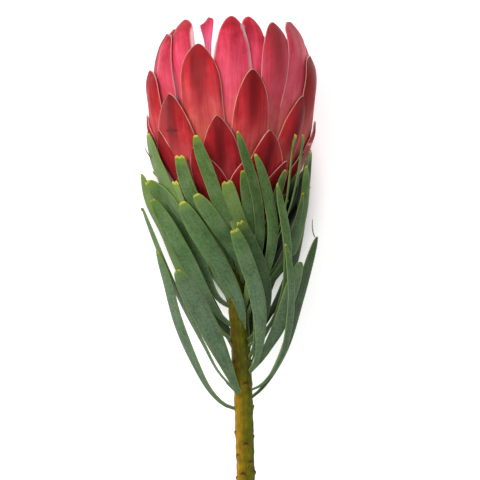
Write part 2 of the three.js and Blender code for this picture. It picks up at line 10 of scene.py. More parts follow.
import bpy
import numpy as np
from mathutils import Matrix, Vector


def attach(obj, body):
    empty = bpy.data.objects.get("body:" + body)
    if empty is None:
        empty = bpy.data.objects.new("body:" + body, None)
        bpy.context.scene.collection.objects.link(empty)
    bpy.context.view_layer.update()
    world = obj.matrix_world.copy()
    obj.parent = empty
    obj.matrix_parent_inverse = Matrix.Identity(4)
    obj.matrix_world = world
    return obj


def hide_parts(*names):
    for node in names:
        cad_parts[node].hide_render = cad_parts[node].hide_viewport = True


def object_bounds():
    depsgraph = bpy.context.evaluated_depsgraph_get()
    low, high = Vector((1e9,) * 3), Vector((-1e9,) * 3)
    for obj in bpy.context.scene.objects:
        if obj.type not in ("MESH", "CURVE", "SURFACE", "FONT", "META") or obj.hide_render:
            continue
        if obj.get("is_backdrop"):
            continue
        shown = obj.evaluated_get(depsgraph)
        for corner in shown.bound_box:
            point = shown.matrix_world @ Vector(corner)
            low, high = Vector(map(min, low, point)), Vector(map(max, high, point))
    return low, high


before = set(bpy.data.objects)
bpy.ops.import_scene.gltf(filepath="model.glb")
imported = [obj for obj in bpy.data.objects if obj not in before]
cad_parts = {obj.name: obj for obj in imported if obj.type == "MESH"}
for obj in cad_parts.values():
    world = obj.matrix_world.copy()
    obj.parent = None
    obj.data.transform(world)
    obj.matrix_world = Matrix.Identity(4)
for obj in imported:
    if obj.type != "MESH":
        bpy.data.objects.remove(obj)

solid_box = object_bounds()
print("solids:", sorted(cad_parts))

# %% [markdown]
# ## The flower's own directions
#
# A flower is easiest to describe upright: x runs to its right, h runs up from the base of the
# head and f runs forwards, all in millimetres. One function then lays it down. A table of
# points typed in the lying position would also work, but nobody could read it.

# %% Lay the flower down
MM = 0.001
AXIS_HEIGHT = 41.1
REST_HEIGHT = 64.0
GOLDEN_ANGLE = 137.508


def lay_down(points):
    """Takes (x, h, f) in millimetres to metres: h - 64 becomes y, and f + 41.1 becomes z,
    which stays above the table."""
    laid = (np.asarray(points, float) + [0.0, -REST_HEIGHT, AXIS_HEIGHT]) * MM
    laid[..., 2] = np.maximum(laid[..., 2], 0)
    return laid


def smooth(t):
    """An S-curve from 0 to 1: 3t^2 - 2t^3, with t held between 0 and 1."""
    t = np.clip(t, 0.0, 1.0)
    return t * t * (3 - 2 * t)


def mix(a, b, t):
    """The value that lies the share t of the way from a to b."""
    return a + (b - a) * t


def unit(vectors):
    """The same directions with length 1."""
    return vectors / (np.linalg.norm(vectors, axis=-1, keepdims=True) + 1e-12)


def draws_from(seed):
    """Seeded draws between two values, by a linear congruential step, alike at every run."""
    state = seed

    def draw(low, high):
        nonlocal state
        state = (state * 1664525 + 1013904223) % 2**32
        return mix(low, high, state / 2**32)

    return draw


def along_azimuth(azimuth, height, radius):
    """Points at a radius from the head's middle line: x = r sin(azimuth), f = r cos(azimuth)."""
    azimuth, height, radius = np.broadcast_arrays(azimuth, height, radius)
    return np.stack([radius * np.sin(azimuth), height, radius * np.cos(azimuth)], -1)


print("origin in the flower's own directions: x 0, h", REST_HEIGHT, "f", -AXIS_HEIGHT)

# %% [markdown]
# ## Blades and tubes
#
# Bracts and leaves are both blades: a front face, a back face a little behind it and a thin
# rim. Stem, florets and threads are tubes. Each is worked out as rings of points, and the same
# few index sums join any rings into faces. Modelling one blade by hand and copying it would
# give eighty equal blades; on the real flower no two are alike, so each gets its own numbers.

# %% Blades and tubes


def normals(grid):
    """Unit normals of a grid: the cross product of its two directions."""
    return unit(np.cross(np.gradient(grid, axis=1), np.gradient(grid, axis=0)))


def both_faces(values):
    """Values on a blade's front grid, repeated in ring order for its front and its back."""
    return np.concatenate([values, values[:, ::-1]], axis=1)


def blade(front, thickness):
    """A closed blade as rings round its edge. The back is the front moved along the normals;
    each ring runs over the front from left to right and returns over the back."""
    back = front - normals(front) * np.asarray(thickness)[..., None]
    return np.concatenate([front, back[:, ::-1]], axis=1)


def wall(stations, ring):
    """Quads between neighbouring rings."""
    start = np.arange(stations - 1)[:, None] * ring
    k = np.arange(ring)
    after = (k + 1) % ring
    quads = np.stack([start + k, start + after, start + ring + after, start + ring + k], -1)
    return quads.reshape(-1, 4).tolist()


def blade_faces(stations, ring):
    """The wall between the rings, and a strip of quads across each end."""
    low = [[j, ring - 1 - j, ring - 2 - j, j + 1] for j in range(ring // 2 - 1)]
    top = (stations - 1) * ring
    return wall(stations, ring) + low + [[v + top for v in face[::-1]] for face in low]


def tube_faces(stations, ring):
    """The wall between the rings, and one flat face at each end."""
    last = range((stations - 1) * ring, stations * ring)
    return wall(stations, ring) + [list(range(ring))[::-1], list(last)]


def tube_uv(stations, ring):
    """UVs from 0 to 1 round and along a tube."""
    return np.stack(np.meshgrid(np.arange(ring) / ring, np.linspace(0, 1, stations)), -1)


def turned(profile, ring):
    """A profile of [radius, height] pairs carried round the head's middle line."""
    turn = np.linspace(0, 2 * np.pi, ring, endpoint=False)
    return along_azimuth(turn, profile[:, 1:2], profile[:, 0:1])


def repeated(faces, count, points_each):
    """The same faces for each of several equal grids that follow each other in one list."""
    return [[v + start for v in face]
            for start in range(0, count * points_each, points_each) for face in faces]


def joined(blades, names, across, share):
    """Blades of one grid, each its points and its marks, as one list of points, faces and UVs
    and one array for each mark. The UVs run from 0 to 1 across and along."""
    points, values = (np.array(part) for part in zip(*blades))
    count, stations, ring = points.shape[:3]
    uv = both_faces(np.stack(np.broadcast_arrays(across * 0.5 + 0.5, share), -1))
    faces = repeated(blade_faces(stations, ring), count, stations * ring)
    marks = {name: values[:, i] for i, name in enumerate(names)}
    return points, faces, np.broadcast_to(uv, (count, *uv.shape)), marks


print("a blade of 30 by 11 points has", len(blade_faces(30, 22)), "quads")

# %% [markdown]
# ## Putting a piece into Blender
#
# A piece is a mesh with a UV map and a few numbers for each point, the marks, which tell its
# material where on a bract or leaf it is. It rides on the flower's only body. Vertex groups
# could carry the marks too, but only between 0 and 1.

# %% Pieces


def put(name, data):
    """Links a new object with this data into the scene."""
    thing = bpy.data.objects.new(name, data)
    bpy.context.scene.collection.objects.link(thing)
    return thing


def make_piece(name, points, faces, uv, marks, finish, node, slot):
    """Puts points and faces in a mesh, with a UV map and one number per point for each mark,
    and has the piece ride on the flower in place of a solid."""
    mesh = bpy.data.meshes.new(name)
    mesh.from_pydata(lay_down(points.reshape(-1, 3)).tolist(), [], faces)
    corners = np.zeros(len(mesh.loops), np.int32)
    mesh.loops.foreach_get("vertex_index", corners)
    layer = mesh.uv_layers.new(name="blade_uv")
    layer.uv.foreach_set("vector", uv.reshape(-1, 2)[corners].astype(np.float32).ravel())
    for mark, values in marks.items():
        spot = mesh.attributes.new(mark, "FLOAT", "POINT")
        spot.data.foreach_set("value", np.asarray(values, np.float32).ravel())
    mesh.polygons.foreach_set("use_smooth", np.ones(len(mesh.polygons), bool))
    mesh.materials.append(finish)
    mesh.update()
    piece = put(name, mesh)
    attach(piece, "root")
    if node:
        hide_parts(node)
    mesh.calc_loop_triangles()
    print(name, len(mesh.loop_triangles), "triangles")


# %% [markdown]
# ## The outline of the head
#
# The head is a closed cup: half an ellipse below its widest part and half an ellipse above.
# Where it lies on the table its underside is pressed flat. Everything on the head is placed
# from this one radius, so the bracts close up as they do on the real flower.

# %% Head outline
HEAD_RADIUS = 42.6
WIDEST_FROM, WIDEST_TO = 68.0, 75.0
LOWER_LENGTH, UPPER_LENGTH = 70.5, 48.0
# Pairs of radius and height, up the cone that the bracts stand on.
RECEPTACLE = np.array([[4.8, -1.6], [7, 2], [11.5, 8], [15.5, 14], [18.2, 20], [18, 24],
                       [14, 27.5], [7, 29.6]])


def head_radius(height):
    """42.6 mm times the height of a circle's quarter: sqrt(1 - rise^2), where rise runs from
    0 at the widest part to 1 at either end of the head."""
    rise = np.maximum(0, np.maximum((WIDEST_FROM - height) / LOWER_LENGTH,
                                    (height - WIDEST_TO) / UPPER_LENGTH))
    return HEAD_RADIUS * np.sqrt(np.maximum(0.002, 1 - rise * rise))


def pressed_radius(azimuth, height):
    """The head's radius, cut off by the plane of the table under it."""
    down = -np.cos(azimuth)
    radius = head_radius(height)
    flat = AXIS_HEIGHT / np.maximum(down, 0.5)
    return np.where(down > 0.5, np.minimum(radius, flat), radius)


def receptacle_radius(height):
    """The receptacle's radius, read between the listed [radius, height] pairs."""
    return np.interp(height, RECEPTACLE[:, 1], RECEPTACLE[:, 0])


print("widest radius", HEAD_RADIUS, "mm, top of the curve", WIDEST_TO + UPPER_LENGTH, "mm")

# %% [markdown]
# ## The rows of bracts
#
# Bracts are the leathery petal-like scales round the flower. They stand in rows like roof
# tiles: short dark red ones outside, tall pink ones inside. The front ones are listed with
# azimuth, tip height, width and how each one differs from its row. The far side is filled by a
# seeded rule, because a real head keeps the same spacing all round.

# %% Rows of bracts
# Root height, taper at the tip, how rounded, how spoon-shaped, tip range, plain width; then
# each bract: azimuth, tip, width, lean, proud, dark streak, dullness, bluntness and skew.
# What a bract doesn't list is 0.
ROWS = [
    (1, 9, 0, 0, (15, 19), 9, [(10, 17, 9, 0, 0, 0.3, 0.2)]),
    (3, 12, 0, 0, (23, 28), 12, [(-8, 26, 12, 0, 0, 0.3, 0.2), (26, 30, 13, 0, 0, 0.4, 0.2)]),
    (6, 16, 0.3, 0, (29, 34), 14, [
        (-14, 25, 13, 0, 0, 0.3, 0.2), (12, 40, 17, 0, 0, 0.3, 0.05),
        (44, 39.5, 16, 2.2, 0, 0.9, 0.5)]),
    (9, 20, 0.35, 0, (42, 53), 15, [
        (-58, 55, 16, -3.4, 0, 0.5, 0.35), (-18, 46, 19, -8, 0, 0.4, 0.15),
        (31.4, 54.7, 22.3, -2.4, 0.2, 1, 0.1, -0.35), (68, 44, 14, 0, 0, 0.5, 0.5),
        (163, 50, 15, 0, 0, 0.5, 0.2), (197, 50, 15, 0, 0, 0.5, 0.2)]),
    (12, 25, 0.4, 0, (60, 72), 17, [
        (-82, 62.5, 16, -1, 1.3, 0.3, 0.4, 0.3), (-46, 73, 27, 0, 1.1, 0.7, 0.3, 0.1),
        (-7.7, 62.1, 21, -1.5, 0, 1), (51.7, 72.1, 18.5, 7, -0.4, 0.9, 0.3, 0.6),
        (82, 59.5, 15, 3, 1.1, 0.5, 0.5), (180, 76, 19, 0, 0, 0.6, 0.2)]),
    (15, 28, 0.6, 0, (82, 93), 21, [
        (-75.7, 85, 22.4, 1.4, 1.7, 0.3, 0.05, 0.95),
        (-21, 97.8, 23.7, -3.9, -0.2, 0.65, 0.15, 0.3),
        (15, 85, 20.4, 0.3, 0, 0.85, 0.05), (70.8, 92.4, 18.8, 5.4, 1.6, 0.4, 0.9, 1)]),
    (18, 22, 0.85, 0, (103, 109), 18, [
        (-78, 103.5, 13.1, -1.8, -0.5, 0.1, 0.8, -0.4),
        (-56.7, 102.6, 16, -4.1, 0.9, 0, 0.1, 0.5),
        (-32.5, 110.4, 15.3, -12.7, -0.7, 0.05, 0, 0.95),
        (1.8, 111.8, 20, -0.7, -0.2, 0.1, 0, -0.3),
        (32.5, 108.8, 17.8, 6, 0.9, 0.55, 0.55, 0.1),
        (54.3, 109.6, 22.5, 13, 1.6, 0.15, 0.35, 1), (173, 110, 18), (-132, 109, 16),
        (-112, 106, 13, 0.3, 0, 0, 0.9, -0.3)]),
    (20, 20, 1, 1, (104, 109), 16, [
        (-8, 101.3, 8, -1.2, 0, 0, 0.2), (19, 111.6, 13.4, 0.4, 0.2, 0, 0.05, 0.4),
        (84, 104, 17, 0, 0, 0.2, 0.5), (-56, 105.7, 11.3, -5.6, 0.6, 0.1, 0.8, -0.3),
        (-163, 111.6, 6.2, 2, 0, 0, 0, 1.25, -1.7), (96, 107, 15, 0, 0, 0, 0.2),
        (128, 106, 15), (156, 108, 14), (-118, 106, 13), (-98, 98, 13, 0, 0, 0, 0.2)]),
]
BRACT_NUMBERS = 9
# A ring is filled where it has a gap this wide, in steps of at least this many degrees.
WIDE_GAP, LEAST_STEP = 84, 38
# The next three tables are read by row and azimuth. A crease runs across a bract some
# millimetres below its tip; its dark line is painted shade of a fold, and a minus sign makes
# it a pale line instead.
CREASES = {(4, -46): 18.5, (4, 82): -11.5}
# Some margins are pale and translucent: the side and how wide.
PALE_MARGINS = {(7, 19): (-1, 2.8), (6, -32.5): (1, 2.6), (6, 1.8): (1, 2), (7, -8): (-1, 2.4),
                (6, -56.7): (-1, 1.6), (6, 54.3): (1, 1.2)}
# Some margins have longer hairs: the side, how long the hairs are and how far down they reach.
TUFTS = {(6, -32.5): (1, 2.2, 14), (7, 19): (-1, 1.3, 16), (6, 54.3): (-1, 0.8, 8),
         (6, 1.8): (-1, 0.8, 25), (7, -8): (-1, 0.9, 20)}


def listed_for(table, row, bract, otherwise):
    """What a table lists for a bract, found by its row and azimuth."""
    return next((v for (r, a), v in table.items() if r == row and a % 360 == bract[0]),
                otherwise)


def fill_row(row, draw):
    """A row as an array of bracts: the listed ones, and evenly drawn ones wherever the ring
    has a wide gap. A step is 1.42 widths along the head's widest ring."""
    tips, width, listed = row[4:]
    placed = sorted((b[0] % 360, *b[1:], *[0] * (BRACT_NUMBERS - len(b))) for b in listed)
    step = max(LEAST_STEP, np.degrees(width * 1.42 / HEAD_RADIUS))
    ring = []
    for i, bract in enumerate(placed):
        ring.append(bract)
        after = placed[i + 1][0] if i + 1 < len(placed) else placed[0][0] + 360
        gap = after - bract[0]
        extra = int(np.floor(gap / step + 0.5)) - 1 if gap > WIDE_GAP else 0
        for k in range(1, extra + 1):
            azimuth = bract[0] + gap * k / (extra + 1) + draw(-2, 2)
            tip = draw(*tips)
            wide = width * draw(0.94, 1.06)
            lean = draw(-1.5, 1.5)
            streak, dull = (0.7, 0.15) if row[0] < 17 else (0.05, 0.1)
            ring.append((azimuth, tip, wide, lean, 0, streak, dull, 0, 0))
    return np.array(ring, float)


bract_draw = draws_from(41)
RINGS = [fill_row(row, bract_draw) for row in ROWS]
print("bracts in each row:", [len(ring) for ring in RINGS])

# %% [markdown]
# ## One bract
#
# Each row lies 2.1 mm deeper than the row outside it, and the depth fades out above the tips
# of that row, so a tall bract swells forwards again where nothing covers it. Across, a bract
# is bowed: its margins dip towards the row beneath. That bow catches the light and is why the
# rows read as separate tiles. A flat tile with a bevel would look cut from sheet.

# %% Bract surface
LAYER_SPACING = 2.1
LAYER_BLEND = 26.0
ROOT_RISE = 9.0
BOW = 0.95
BRACT_THICKNESS = 0.85


def row_top(ring, azimuth):
    """How high a row reaches at an azimuth: the highest of its bracts' outlines there."""
    centre = np.radians(ring[:, 0])
    turn = np.abs((azimuth[..., None] - centre + np.pi) % (2 * np.pi) - np.pi)
    return (ring[:, 1] - 1.6 * np.maximum(0, turn * HEAD_RADIUS - 3)).max(-1)


def layers_outside(row, azimuth, height):
    """How many rows cover this place, each fading out over 26 mm above its outline."""
    azimuth, height = np.broadcast_arrays(azimuth, height)
    total = np.zeros(azimuth.shape)
    for ring in RINGS[:row]:
        total += smooth((row_top(ring, azimuth) + LAYER_BLEND - height) / LAYER_BLEND)
    return total


def bract_half_width(row, bract, height):
    """Half the width: narrow at the root and full from the middle on, or only near the tip in
    a spoon-shaped one, and closing at the tip along a parabola, or along its square root where
    the tip is rounded. A bract blunter than 1 also has a waist below its end."""
    root, taper, rounded, spoon = ROWS[row][:4]
    from_tip = np.clip((bract[1] - height) / (taper * (1 - 0.75 * bract[7])), 0, 1)
    pointed = 1 - (1 - from_tip) ** 2
    from_root = (height - root) / (bract[1] - root)
    narrowing = mix(mix(0.5, 1, smooth(from_root / 0.45)),
                    mix(0.35, 1, smooth((from_root - 0.55) / 0.42)), spoon)
    waist = 1 - 1.7 * max(0, bract[7] - 1) * smooth((bract[1] - height) / 14)
    return bract[2] / 2 * waist * narrowing * mix(pointed, np.sqrt(pointed), rounded)


def bract_front(row, bract, height, across, phase):
    """The outer face at heights down the grid and places from -1 to 1 across it. The radius is
    the pressed head radius, less the depth of the rows outside, less the bow times across
    squared, less a tuck at the very tip, plus two faint lengthwise waves. A bract blunter
    than 1 also stands up straight, by the height's share to the power 8."""
    root = ROWS[row][0]
    centre = np.radians(bract[0])
    plain = head_radius(height) - LAYER_SPACING * layers_outside(row, centre, height)
    share = (height - root) / (bract[1] - root)
    sideways = across * bract_half_width(row, bract, height) + bract[3] * share**4
    azimuth = centre + sideways / np.maximum(9, plain)
    depth = LAYER_SPACING * layers_outside(row, azimuth, height)
    tuck = 0.7 * smooth(1 - (bract[1] - height) / 7)
    wave = 0.10 * np.sin(across * 7 + phase) + 0.12 * np.sin(height / 7 + across * 2 + phase)
    outside = pressed_radius(azimuth, height) - depth + bract[4] - BOW * across**2 - tuck
    outside = outside + wave * smooth((bract[1] - height) / 6)
    outside = outside + 36 * max(0, bract[7] - 1) * share**8
    radius = mix(receptacle_radius(height) - 2.2, outside, smooth((height - root) / ROOT_RISE))
    return along_azimuth(azimuth, height, radius)


print("the innermost row lies", LAYER_SPACING * (len(ROWS) - 1), "mm deep")

# %% [markdown]
# ## Marks on the bracts
#
# The colour of a bract depends on how far a place is from the tip, the edge and the middle.
# These distances are worked out with the blade and stored in its points. Working them out in
# the material would need the outline of every bract there.

# %% All bracts of a few rows
BRACT_MARKS = ("tip_mm", "edge_mm", "side_mm", "streak", "dull", "tone", "crease", "pale_mm",
               "inner")


def bract_blades(rows, stations=30, columns=11):
    """All bracts of the given rows, joined. The distance to the edge is measured square to
    it: across, over sqrt(1 + slope^2). A skew lifts one side of the tip and lowers the
    other."""
    across = np.linspace(-1, 1, columns)[None]
    share = np.linspace(0, 1, stations)[:, None]
    draw = draws_from(19)
    blades = []
    for row in rows:
        for bract in RINGS[row]:
            height = mix(ROWS[row][0], bract[1] - 0.04, 1 - (1 - share) ** 1.8)
            half = np.maximum(bract_half_width(row, bract, height), 0.12)
            front = bract_front(row, bract, height, across, draw(0, 6.28))
            below = bract[1] - height
            front[..., 1] += bract[8] * across * smooth(1 - below / 9)
            slope = np.gradient(half[:, 0], height[:, 0])[:, None]
            edge = np.minimum(half * (1 - np.abs(across)) / np.sqrt(1 + slope**2), below * 0.9)
            crease = listed_for(CREASES, row, bract, 0)
            side, wide = listed_for(PALE_MARGINS, row, bract, (1, 0))
            wide = wide * (across * side > 0) * smooth((below - 1.5) / 5)
            values = np.broadcast_arrays(below, edge, across * half, bract[5], bract[6],
                                         draw(0, 1), crease, wide)
            marks = [both_faces(v) for v in values]
            marks.append(np.concatenate([0 * edge, 0 * edge + 1], axis=1))
            blades.append((blade(front, BRACT_THICKNESS * (1 - 0.6 * across**2)), marks))
    return joined(blades, BRACT_MARKS, across, share)


print("marks on each point of a bract:", ", ".join(BRACT_MARKS))

# %% [markdown]
# ## Colours and one helper for material nodes
#
# Colours are written as the hex values a painter would pick on a screen, and one function
# turns them to the linear values Blender works with. One more adds a node with its settings
# and links and hands back its output, which keeps each material short enough to read.

# %% Colour and node helpers
EASED = {"interpolation_type": "SMOOTHSTEP"}


def linear(code):
    """A linear colour from an sRGB hex code, by the sRGB curve."""
    value = np.array([int(code[i:i + 2], 16) for i in (1, 3, 5)]) / 255
    value = np.where(value <= 0.04045, value / 12.92, ((value + 0.055) / 1.055) ** 2.4)
    return (*value.tolist(), 1.0)


def plug(node, inputs):
    """Fills a node's inputs, listed in order or by name or number: a socket is linked, and
    anything else is a value."""
    for key, value in inputs.items() if isinstance(inputs, dict) else enumerate(inputs):
        if isinstance(value, bpy.types.NodeSocket):
            node.id_data.links.new(value, node.inputs[key])
        else:
            node.inputs[key].default_value = value


def add_node(tree, kind, inputs=(), out=None, stops=(), **settings):
    """Adds a shader node and gives back its output, the one named or the first in use.
    Settings are its properties, and stops are the places and colours of a ramp. The inputs of
    a map range are its value, where that starts and ends, and the results there."""
    made = tree.nodes.new("ShaderNode" + kind)
    for name, value in settings.items():
        setattr(made, name, value)
    plug(made, inputs)
    for i, (place, code) in enumerate(stops):
        ramp = made.color_ramp.elements
        stop = ramp[i] if i < 2 else ramp.new(place)
        stop.position = place
        stop.color = linear(code)
    return made.outputs[out] if out else next(s for s in made.outputs if s.enabled)


def new_finish(name):
    """A new material, a function that adds nodes to it, and its main shader."""
    finish = bpy.data.materials.new(name)
    finish.use_nodes = True
    tree = finish.node_tree
    return finish, functools.partial(add_node, tree), tree.nodes["Principled BSDF"]


def grain_place(node, mark, stretch, apart):
    """Where the grain of a blade is read: millimetres across it, millimetres from its tip
    times the stretch, and another place in the pattern for every blade."""
    along = node("Math", (mark["tip_mm"], stretch), operation="MULTIPLY")
    own = node("Math", (mark["tone"], apart), operation="MULTIPLY")
    return node("CombineXYZ", (mark["side_mm"], along, own))


def speckled(name, specks_per_metre, detail, stops, roughness, relief=0.0):
    """A matt finish with specks in two colours and, where asked for, a relief of 0.4 mm."""
    finish, node, shader = new_finish(name)
    noise = node("TexNoise", {"Vector": node("TexCoord", out="Object"),
                              "Scale": specks_per_metre, "Detail": detail})
    plug(shader, {"Base Color": node("ValToRGB", (noise,), stops=stops),
                  "Roughness": roughness})
    if relief:
        plug(shader, {"Normal": node("Bump", {"Height": noise, "Strength": relief,
                                              "Distance": 0.0004})})
    return finish


print("a dark bract in linear light:", [round(c, 3) for c in linear("#A9262C")[:3]])

# %% [markdown]
# ## Streaks, creases and silk on a bract
#
# A maroon streak runs down the middle of the short bracts. One or two bracts were folded in
# growing: a dark crease is painted shade of a fold that the blade doesn't have, and a crease
# with a minus sign is a pale line. Some margins are pale with silk. Each of these is a share
# from 0 to 1, worked out from the marks, that says how much of its colour covers the skin.
# Painting an image would look the same from the front, but would not reach the far side.

# %% What covers a bract's skin


def streak_share(node, mark, veins, spots):
    """The streak: 2 to 3 mm either side of the middle, fibrous at its edges, from just under
    the tip to 38 mm below it. Its three limits are multiplied."""
    away = node("Math", (mark["side_mm"],), operation="ABSOLUTE")
    away = node("Math", (veins, -3.4, away), operation="MULTIPLY_ADD")
    away = node("Math", (spots, -4.0, away), operation="MULTIPLY_ADD")
    share = mark["streak"]
    for limit in ((away, -3.8, 2.2, 1.0, 0.0), (mark["tip_mm"], 0.0, 9.0, 0.4, 1.0),
                  (mark["tip_mm"], 18.0, 38.0, 1.0, 0.0)):
        share = node("Math", (share, node("MapRange", limit, **EASED)), operation="MULTIPLY")
    return share


def crease_share(node, mark, veins):
    """The crease: a line half a millimetre wide across the middle of the bract, wavering with
    the veins, and round its middle a patch that fades out over 3 mm. Where the crease is dark,
    both are painted shade of a fold that the blade doesn't have."""
    across = node("Math", (mark["side_mm"],), operation="ABSOLUTE")
    fold = node("Math", (mark["crease"],), operation="ABSOLUTE")
    away = node("Math", (mark["tip_mm"], fold), operation="SUBTRACT")
    away = node("Math", (veins, 0.8, away), operation="MULTIPLY_ADD")
    away = node("Math", (away, 0.4), operation="SUBTRACT")
    away = node("Math", (away,), operation="ABSOLUTE")
    reach = node("VectorMath", (node("CombineXYZ", (across, away)),), operation="LENGTH")
    line = node("MapRange", (away, 0.2, 0.9, 0.75, 0.0), **EASED)
    short = node("MapRange", (across, 3.0, 7.5, 1.0, 0.0), **EASED)
    fold_patch = node("MapRange", (reach, 0.4, 3.4, 0.55, 0.0), **EASED)
    folded = node("Math", (fold, 1.0), operation="GREATER_THAN")
    share = node("Math", (line, short), operation="MULTIPLY")
    share = node("Math", (share, fold_patch), operation="MAXIMUM")
    return node("Math", (share, folded), operation="MULTIPLY")


def silk_share(node, mark, veins):
    """The pale silky margin, which frays into the skin along the veins."""
    frayed = node("Math", (veins, 1.8, mark["edge_mm"]), operation="MULTIPLY_ADD")
    frayed = node("Math", (frayed, mark["pale_mm"]), operation="SUBTRACT")
    silky = node("MapRange", (frayed, -1.2, 0.9, 0.8, 0.0), **EASED)
    present = node("Math", (mark["pale_mm"], 1.0), operation="MULTIPLY", use_clamp=True)
    return node("Math", (silky, present), operation="MULTIPLY")


print("bracts with a crease:", len(CREASES), "and with a pale margin:", len(PALE_MARGINS))

# %% [markdown]
# ## Bract leather
#
# A bract is a leathery scale, grown, with fine veins along it and a thin dry margin. The
# colour changes along it, from dark red at the tip to salmon near the root. All of it follows
# the blade, so one function makes the leather and two sets of colours dress the short and the
# tall rows. The coats go on in the order of the list, as a painter would lay them.

# %% Bract leather


def bract_leather(name, along, margin, rim_strength, streak, dull, inside):
    """Leathery bract: a ramp of colours from the tip down, covered coat by coat. The inner
    face is smooth and vivid, red at the tip and paler further down; on the tall rows the pale
    pink is raised above its own colour as painted light, for light shining through."""
    finish, node, shader = new_finish(name)
    mark = {m: node("Attribute", out="Fac", attribute_name=m) for m in BRACT_MARKS}
    # Veins 0.8 mm and bands 3 mm apart, both stretched twelve times, and blotches of 6 mm.
    place = grain_place(node, mark, 0.08, 40.0)
    veins = node("TexNoise", {"Vector": place, "Scale": 1.25, "Detail": 3.0})
    bands = node("TexNoise", {"Vector": place, "Scale": 0.36, "Detail": 1.0})
    spots = node("TexNoise", {"Vector": node("TexCoord", out="Object"), "Scale": 160.0,
                              "Detail": 3.0})
    # The blotches, and a tone for each bract, shift the ripening of the colour along it.
    ripe = node("Math", (spots, 14.0, mark["tip_mm"]), operation="MULTIPLY_ADD")
    ripe = node("Math", (mark["tone"], 5.0, ripe), operation="MULTIPLY_ADD")
    skin = node("ValToRGB", (node("MapRange", (ripe, 8.0, 78.0)),), stops=along)
    patchy = node("Math", (bands, 1.2, 0.1), operation="MULTIPLY_ADD")
    dulled = node("Math", (mark["dull"], patchy), operation="MULTIPLY", use_clamp=True)
    # The crease colour: dark painted shade of a fold, or a pale line where the crease has a
    # minus sign.
    pale = node("Math", (mark["crease"], -1.0), operation="LESS_THAN")
    fold = node("Mix", {0: pale, 6: linear("#4A1418"), 7: linear("#E0A09A")}, data_type="RGBA")
    # The dry margin is about 0.4 mm wide and turns from cream to tan and back.
    rim = node("MapRange", (mark["edge_mm"], 0.12, 0.5, rim_strength, 0.0), **EASED)
    tanned = node("MapRange", (bands, 0.48, 0.72))
    dry = node("Mix", {0: tanned, 6: linear(margin[0]), 7: linear(margin[1])},
               data_type="RGBA")
    depth = node("MapRange", (mark["tip_mm"], 0.0, 30.0))
    coats = [(0.5, veins, "OVERLAY"), (0.6, bands, "OVERLAY"), (0.3, spots, "OVERLAY"),
             (dulled, linear(dull), "MIX"),
             (streak_share(node, mark, veins, spots), linear(streak), "MIX"),
             (crease_share(node, mark, veins), fold, "MIX"),
             (silk_share(node, mark, veins), linear("#F6D4DC"), "MIX"), (rim, dry, "MIX"),
             (mark["inner"], node("ValToRGB", (depth,), stops=inside), "MIX")]
    for share, colour, mode in coats:
        skin = node("Mix", {0: share, 6: skin, 7: colour}, data_type="RGBA", blend_type=mode)
    # Light passes through the thin blade, so a bract lit from behind glows.
    plug(shader, {
        "Base Color": skin, "Roughness": node("MapRange", (veins, 0.0, 1.0, 0.42, 0.62)),
        "Normal": node("Bump", {"Height": veins, "Strength": 0.25, "Distance": 0.0003}),
        "IOR": 1.45, "Specular IOR Level": 0.12, "Subsurface Weight": 0.35,
        "Subsurface Radius": (1.0, 0.3, 0.35), "Subsurface Scale": 0.0012})
    return finish


outer_leather = bract_leather(
    "outer_bract_leather",
    [(0, "#801618"), (0.07, "#9C1A1F"), (0.2, "#B0222A"), (0.33, "#C2343A"),
     (0.45, "#D04C50"), (0.6, "#D86058"), (0.75, "#D27058")],
    ("#F2C8B4", "#D8967C"), 0.75, "#6C1216", "#701A18",
    [(0, "#B02C3A"), (0.3, "#D8506A"), (1, "#D98080")])
# The tall rows' inner face is vivid pink of its own; its lining stops are raised paler and
# brighter down from the tip as painted light, standing for light that shines through the blade.
inner_leather = bract_leather(
    "inner_bract_leather",
    [(0, "#A41C2A"), (0.07, "#B42034"), (0.16, "#CA384E"), (0.28, "#DC4A64"),
     (0.55, "#DE5468"), (0.85, "#DC7068")],
    ("#F6CCC4", "#E0948E"), 0.55, "#76201F", "#843028",
    [(0, "#E4506C"), (0.1, "#F8648C"), (0.3, "#FF80A6"), (0.5, "#FF94B8"), (1, "#F4B0BE")])
print("leathers:", outer_leather.name, "and", inner_leather.name)

# %% [markdown]
# ## The rows go in
#
# The six short rows and the two tall ones become two pieces, because they wear different
# colours. Both stand for the same solid.

# %% Bracts
for name, rows, leather in (("outer_bracts", range(6), outer_leather),
                            ("inner_bracts", range(6, 8), inner_leather)):
    make_piece(name, *bract_blades(rows), leather, "flower_head", "bracts")

# %% [markdown]
# ## Silky hairs
#
# The inner bracts carry short white silky hairs along the margins near their tips. Each hair
# is a flat strip of two quads that narrows to a point, rooted in the margin. Hair curves would
# be finer, but they don't come through an export.

# %% Silky hairs
HAIR_STEPS = [(0.0, 0.055), (0.5, 0.05), (1.0, 0.012)]
HAIR_FACES = [[0, 1, 3, 2], [2, 3, 5, 4]]


def margin_hairs(row, bract, side, length, reach, count, draw):
    """Hairs on one margin: the root is the bract's own edge, the direction runs outwards and
    up, and the strip of 0.1 mm narrows along the hair."""
    place = np.array([draw(0, 1) for _ in range(count)])
    spread = np.array([[draw(-1, 1) for _ in range(3)] for _ in range(count)])
    size = length * np.array([draw(0.5, 1) for _ in range(count)])[:, None]
    height = (bract[1] - 0.3 - reach * place**1.5)[:, None]
    ends = np.array([[0.97 * side, side]])
    inner, edge = np.moveaxis(bract_front(row, bract, height, ends, 0.0), 1, 0)
    way = unit(unit(edge - inner) + [0, 0.9, 0] + 0.35 * spread)
    flat = unit(np.cross(way, spread))
    strip = [mix(inner, edge, 0.5) + way * size * t + flat * wide * sign - [0, 0.12 * t * t, 0]
             for t, wide in HAIR_STEPS for sign in (-1, 1)]
    return np.stack(strip, 1)


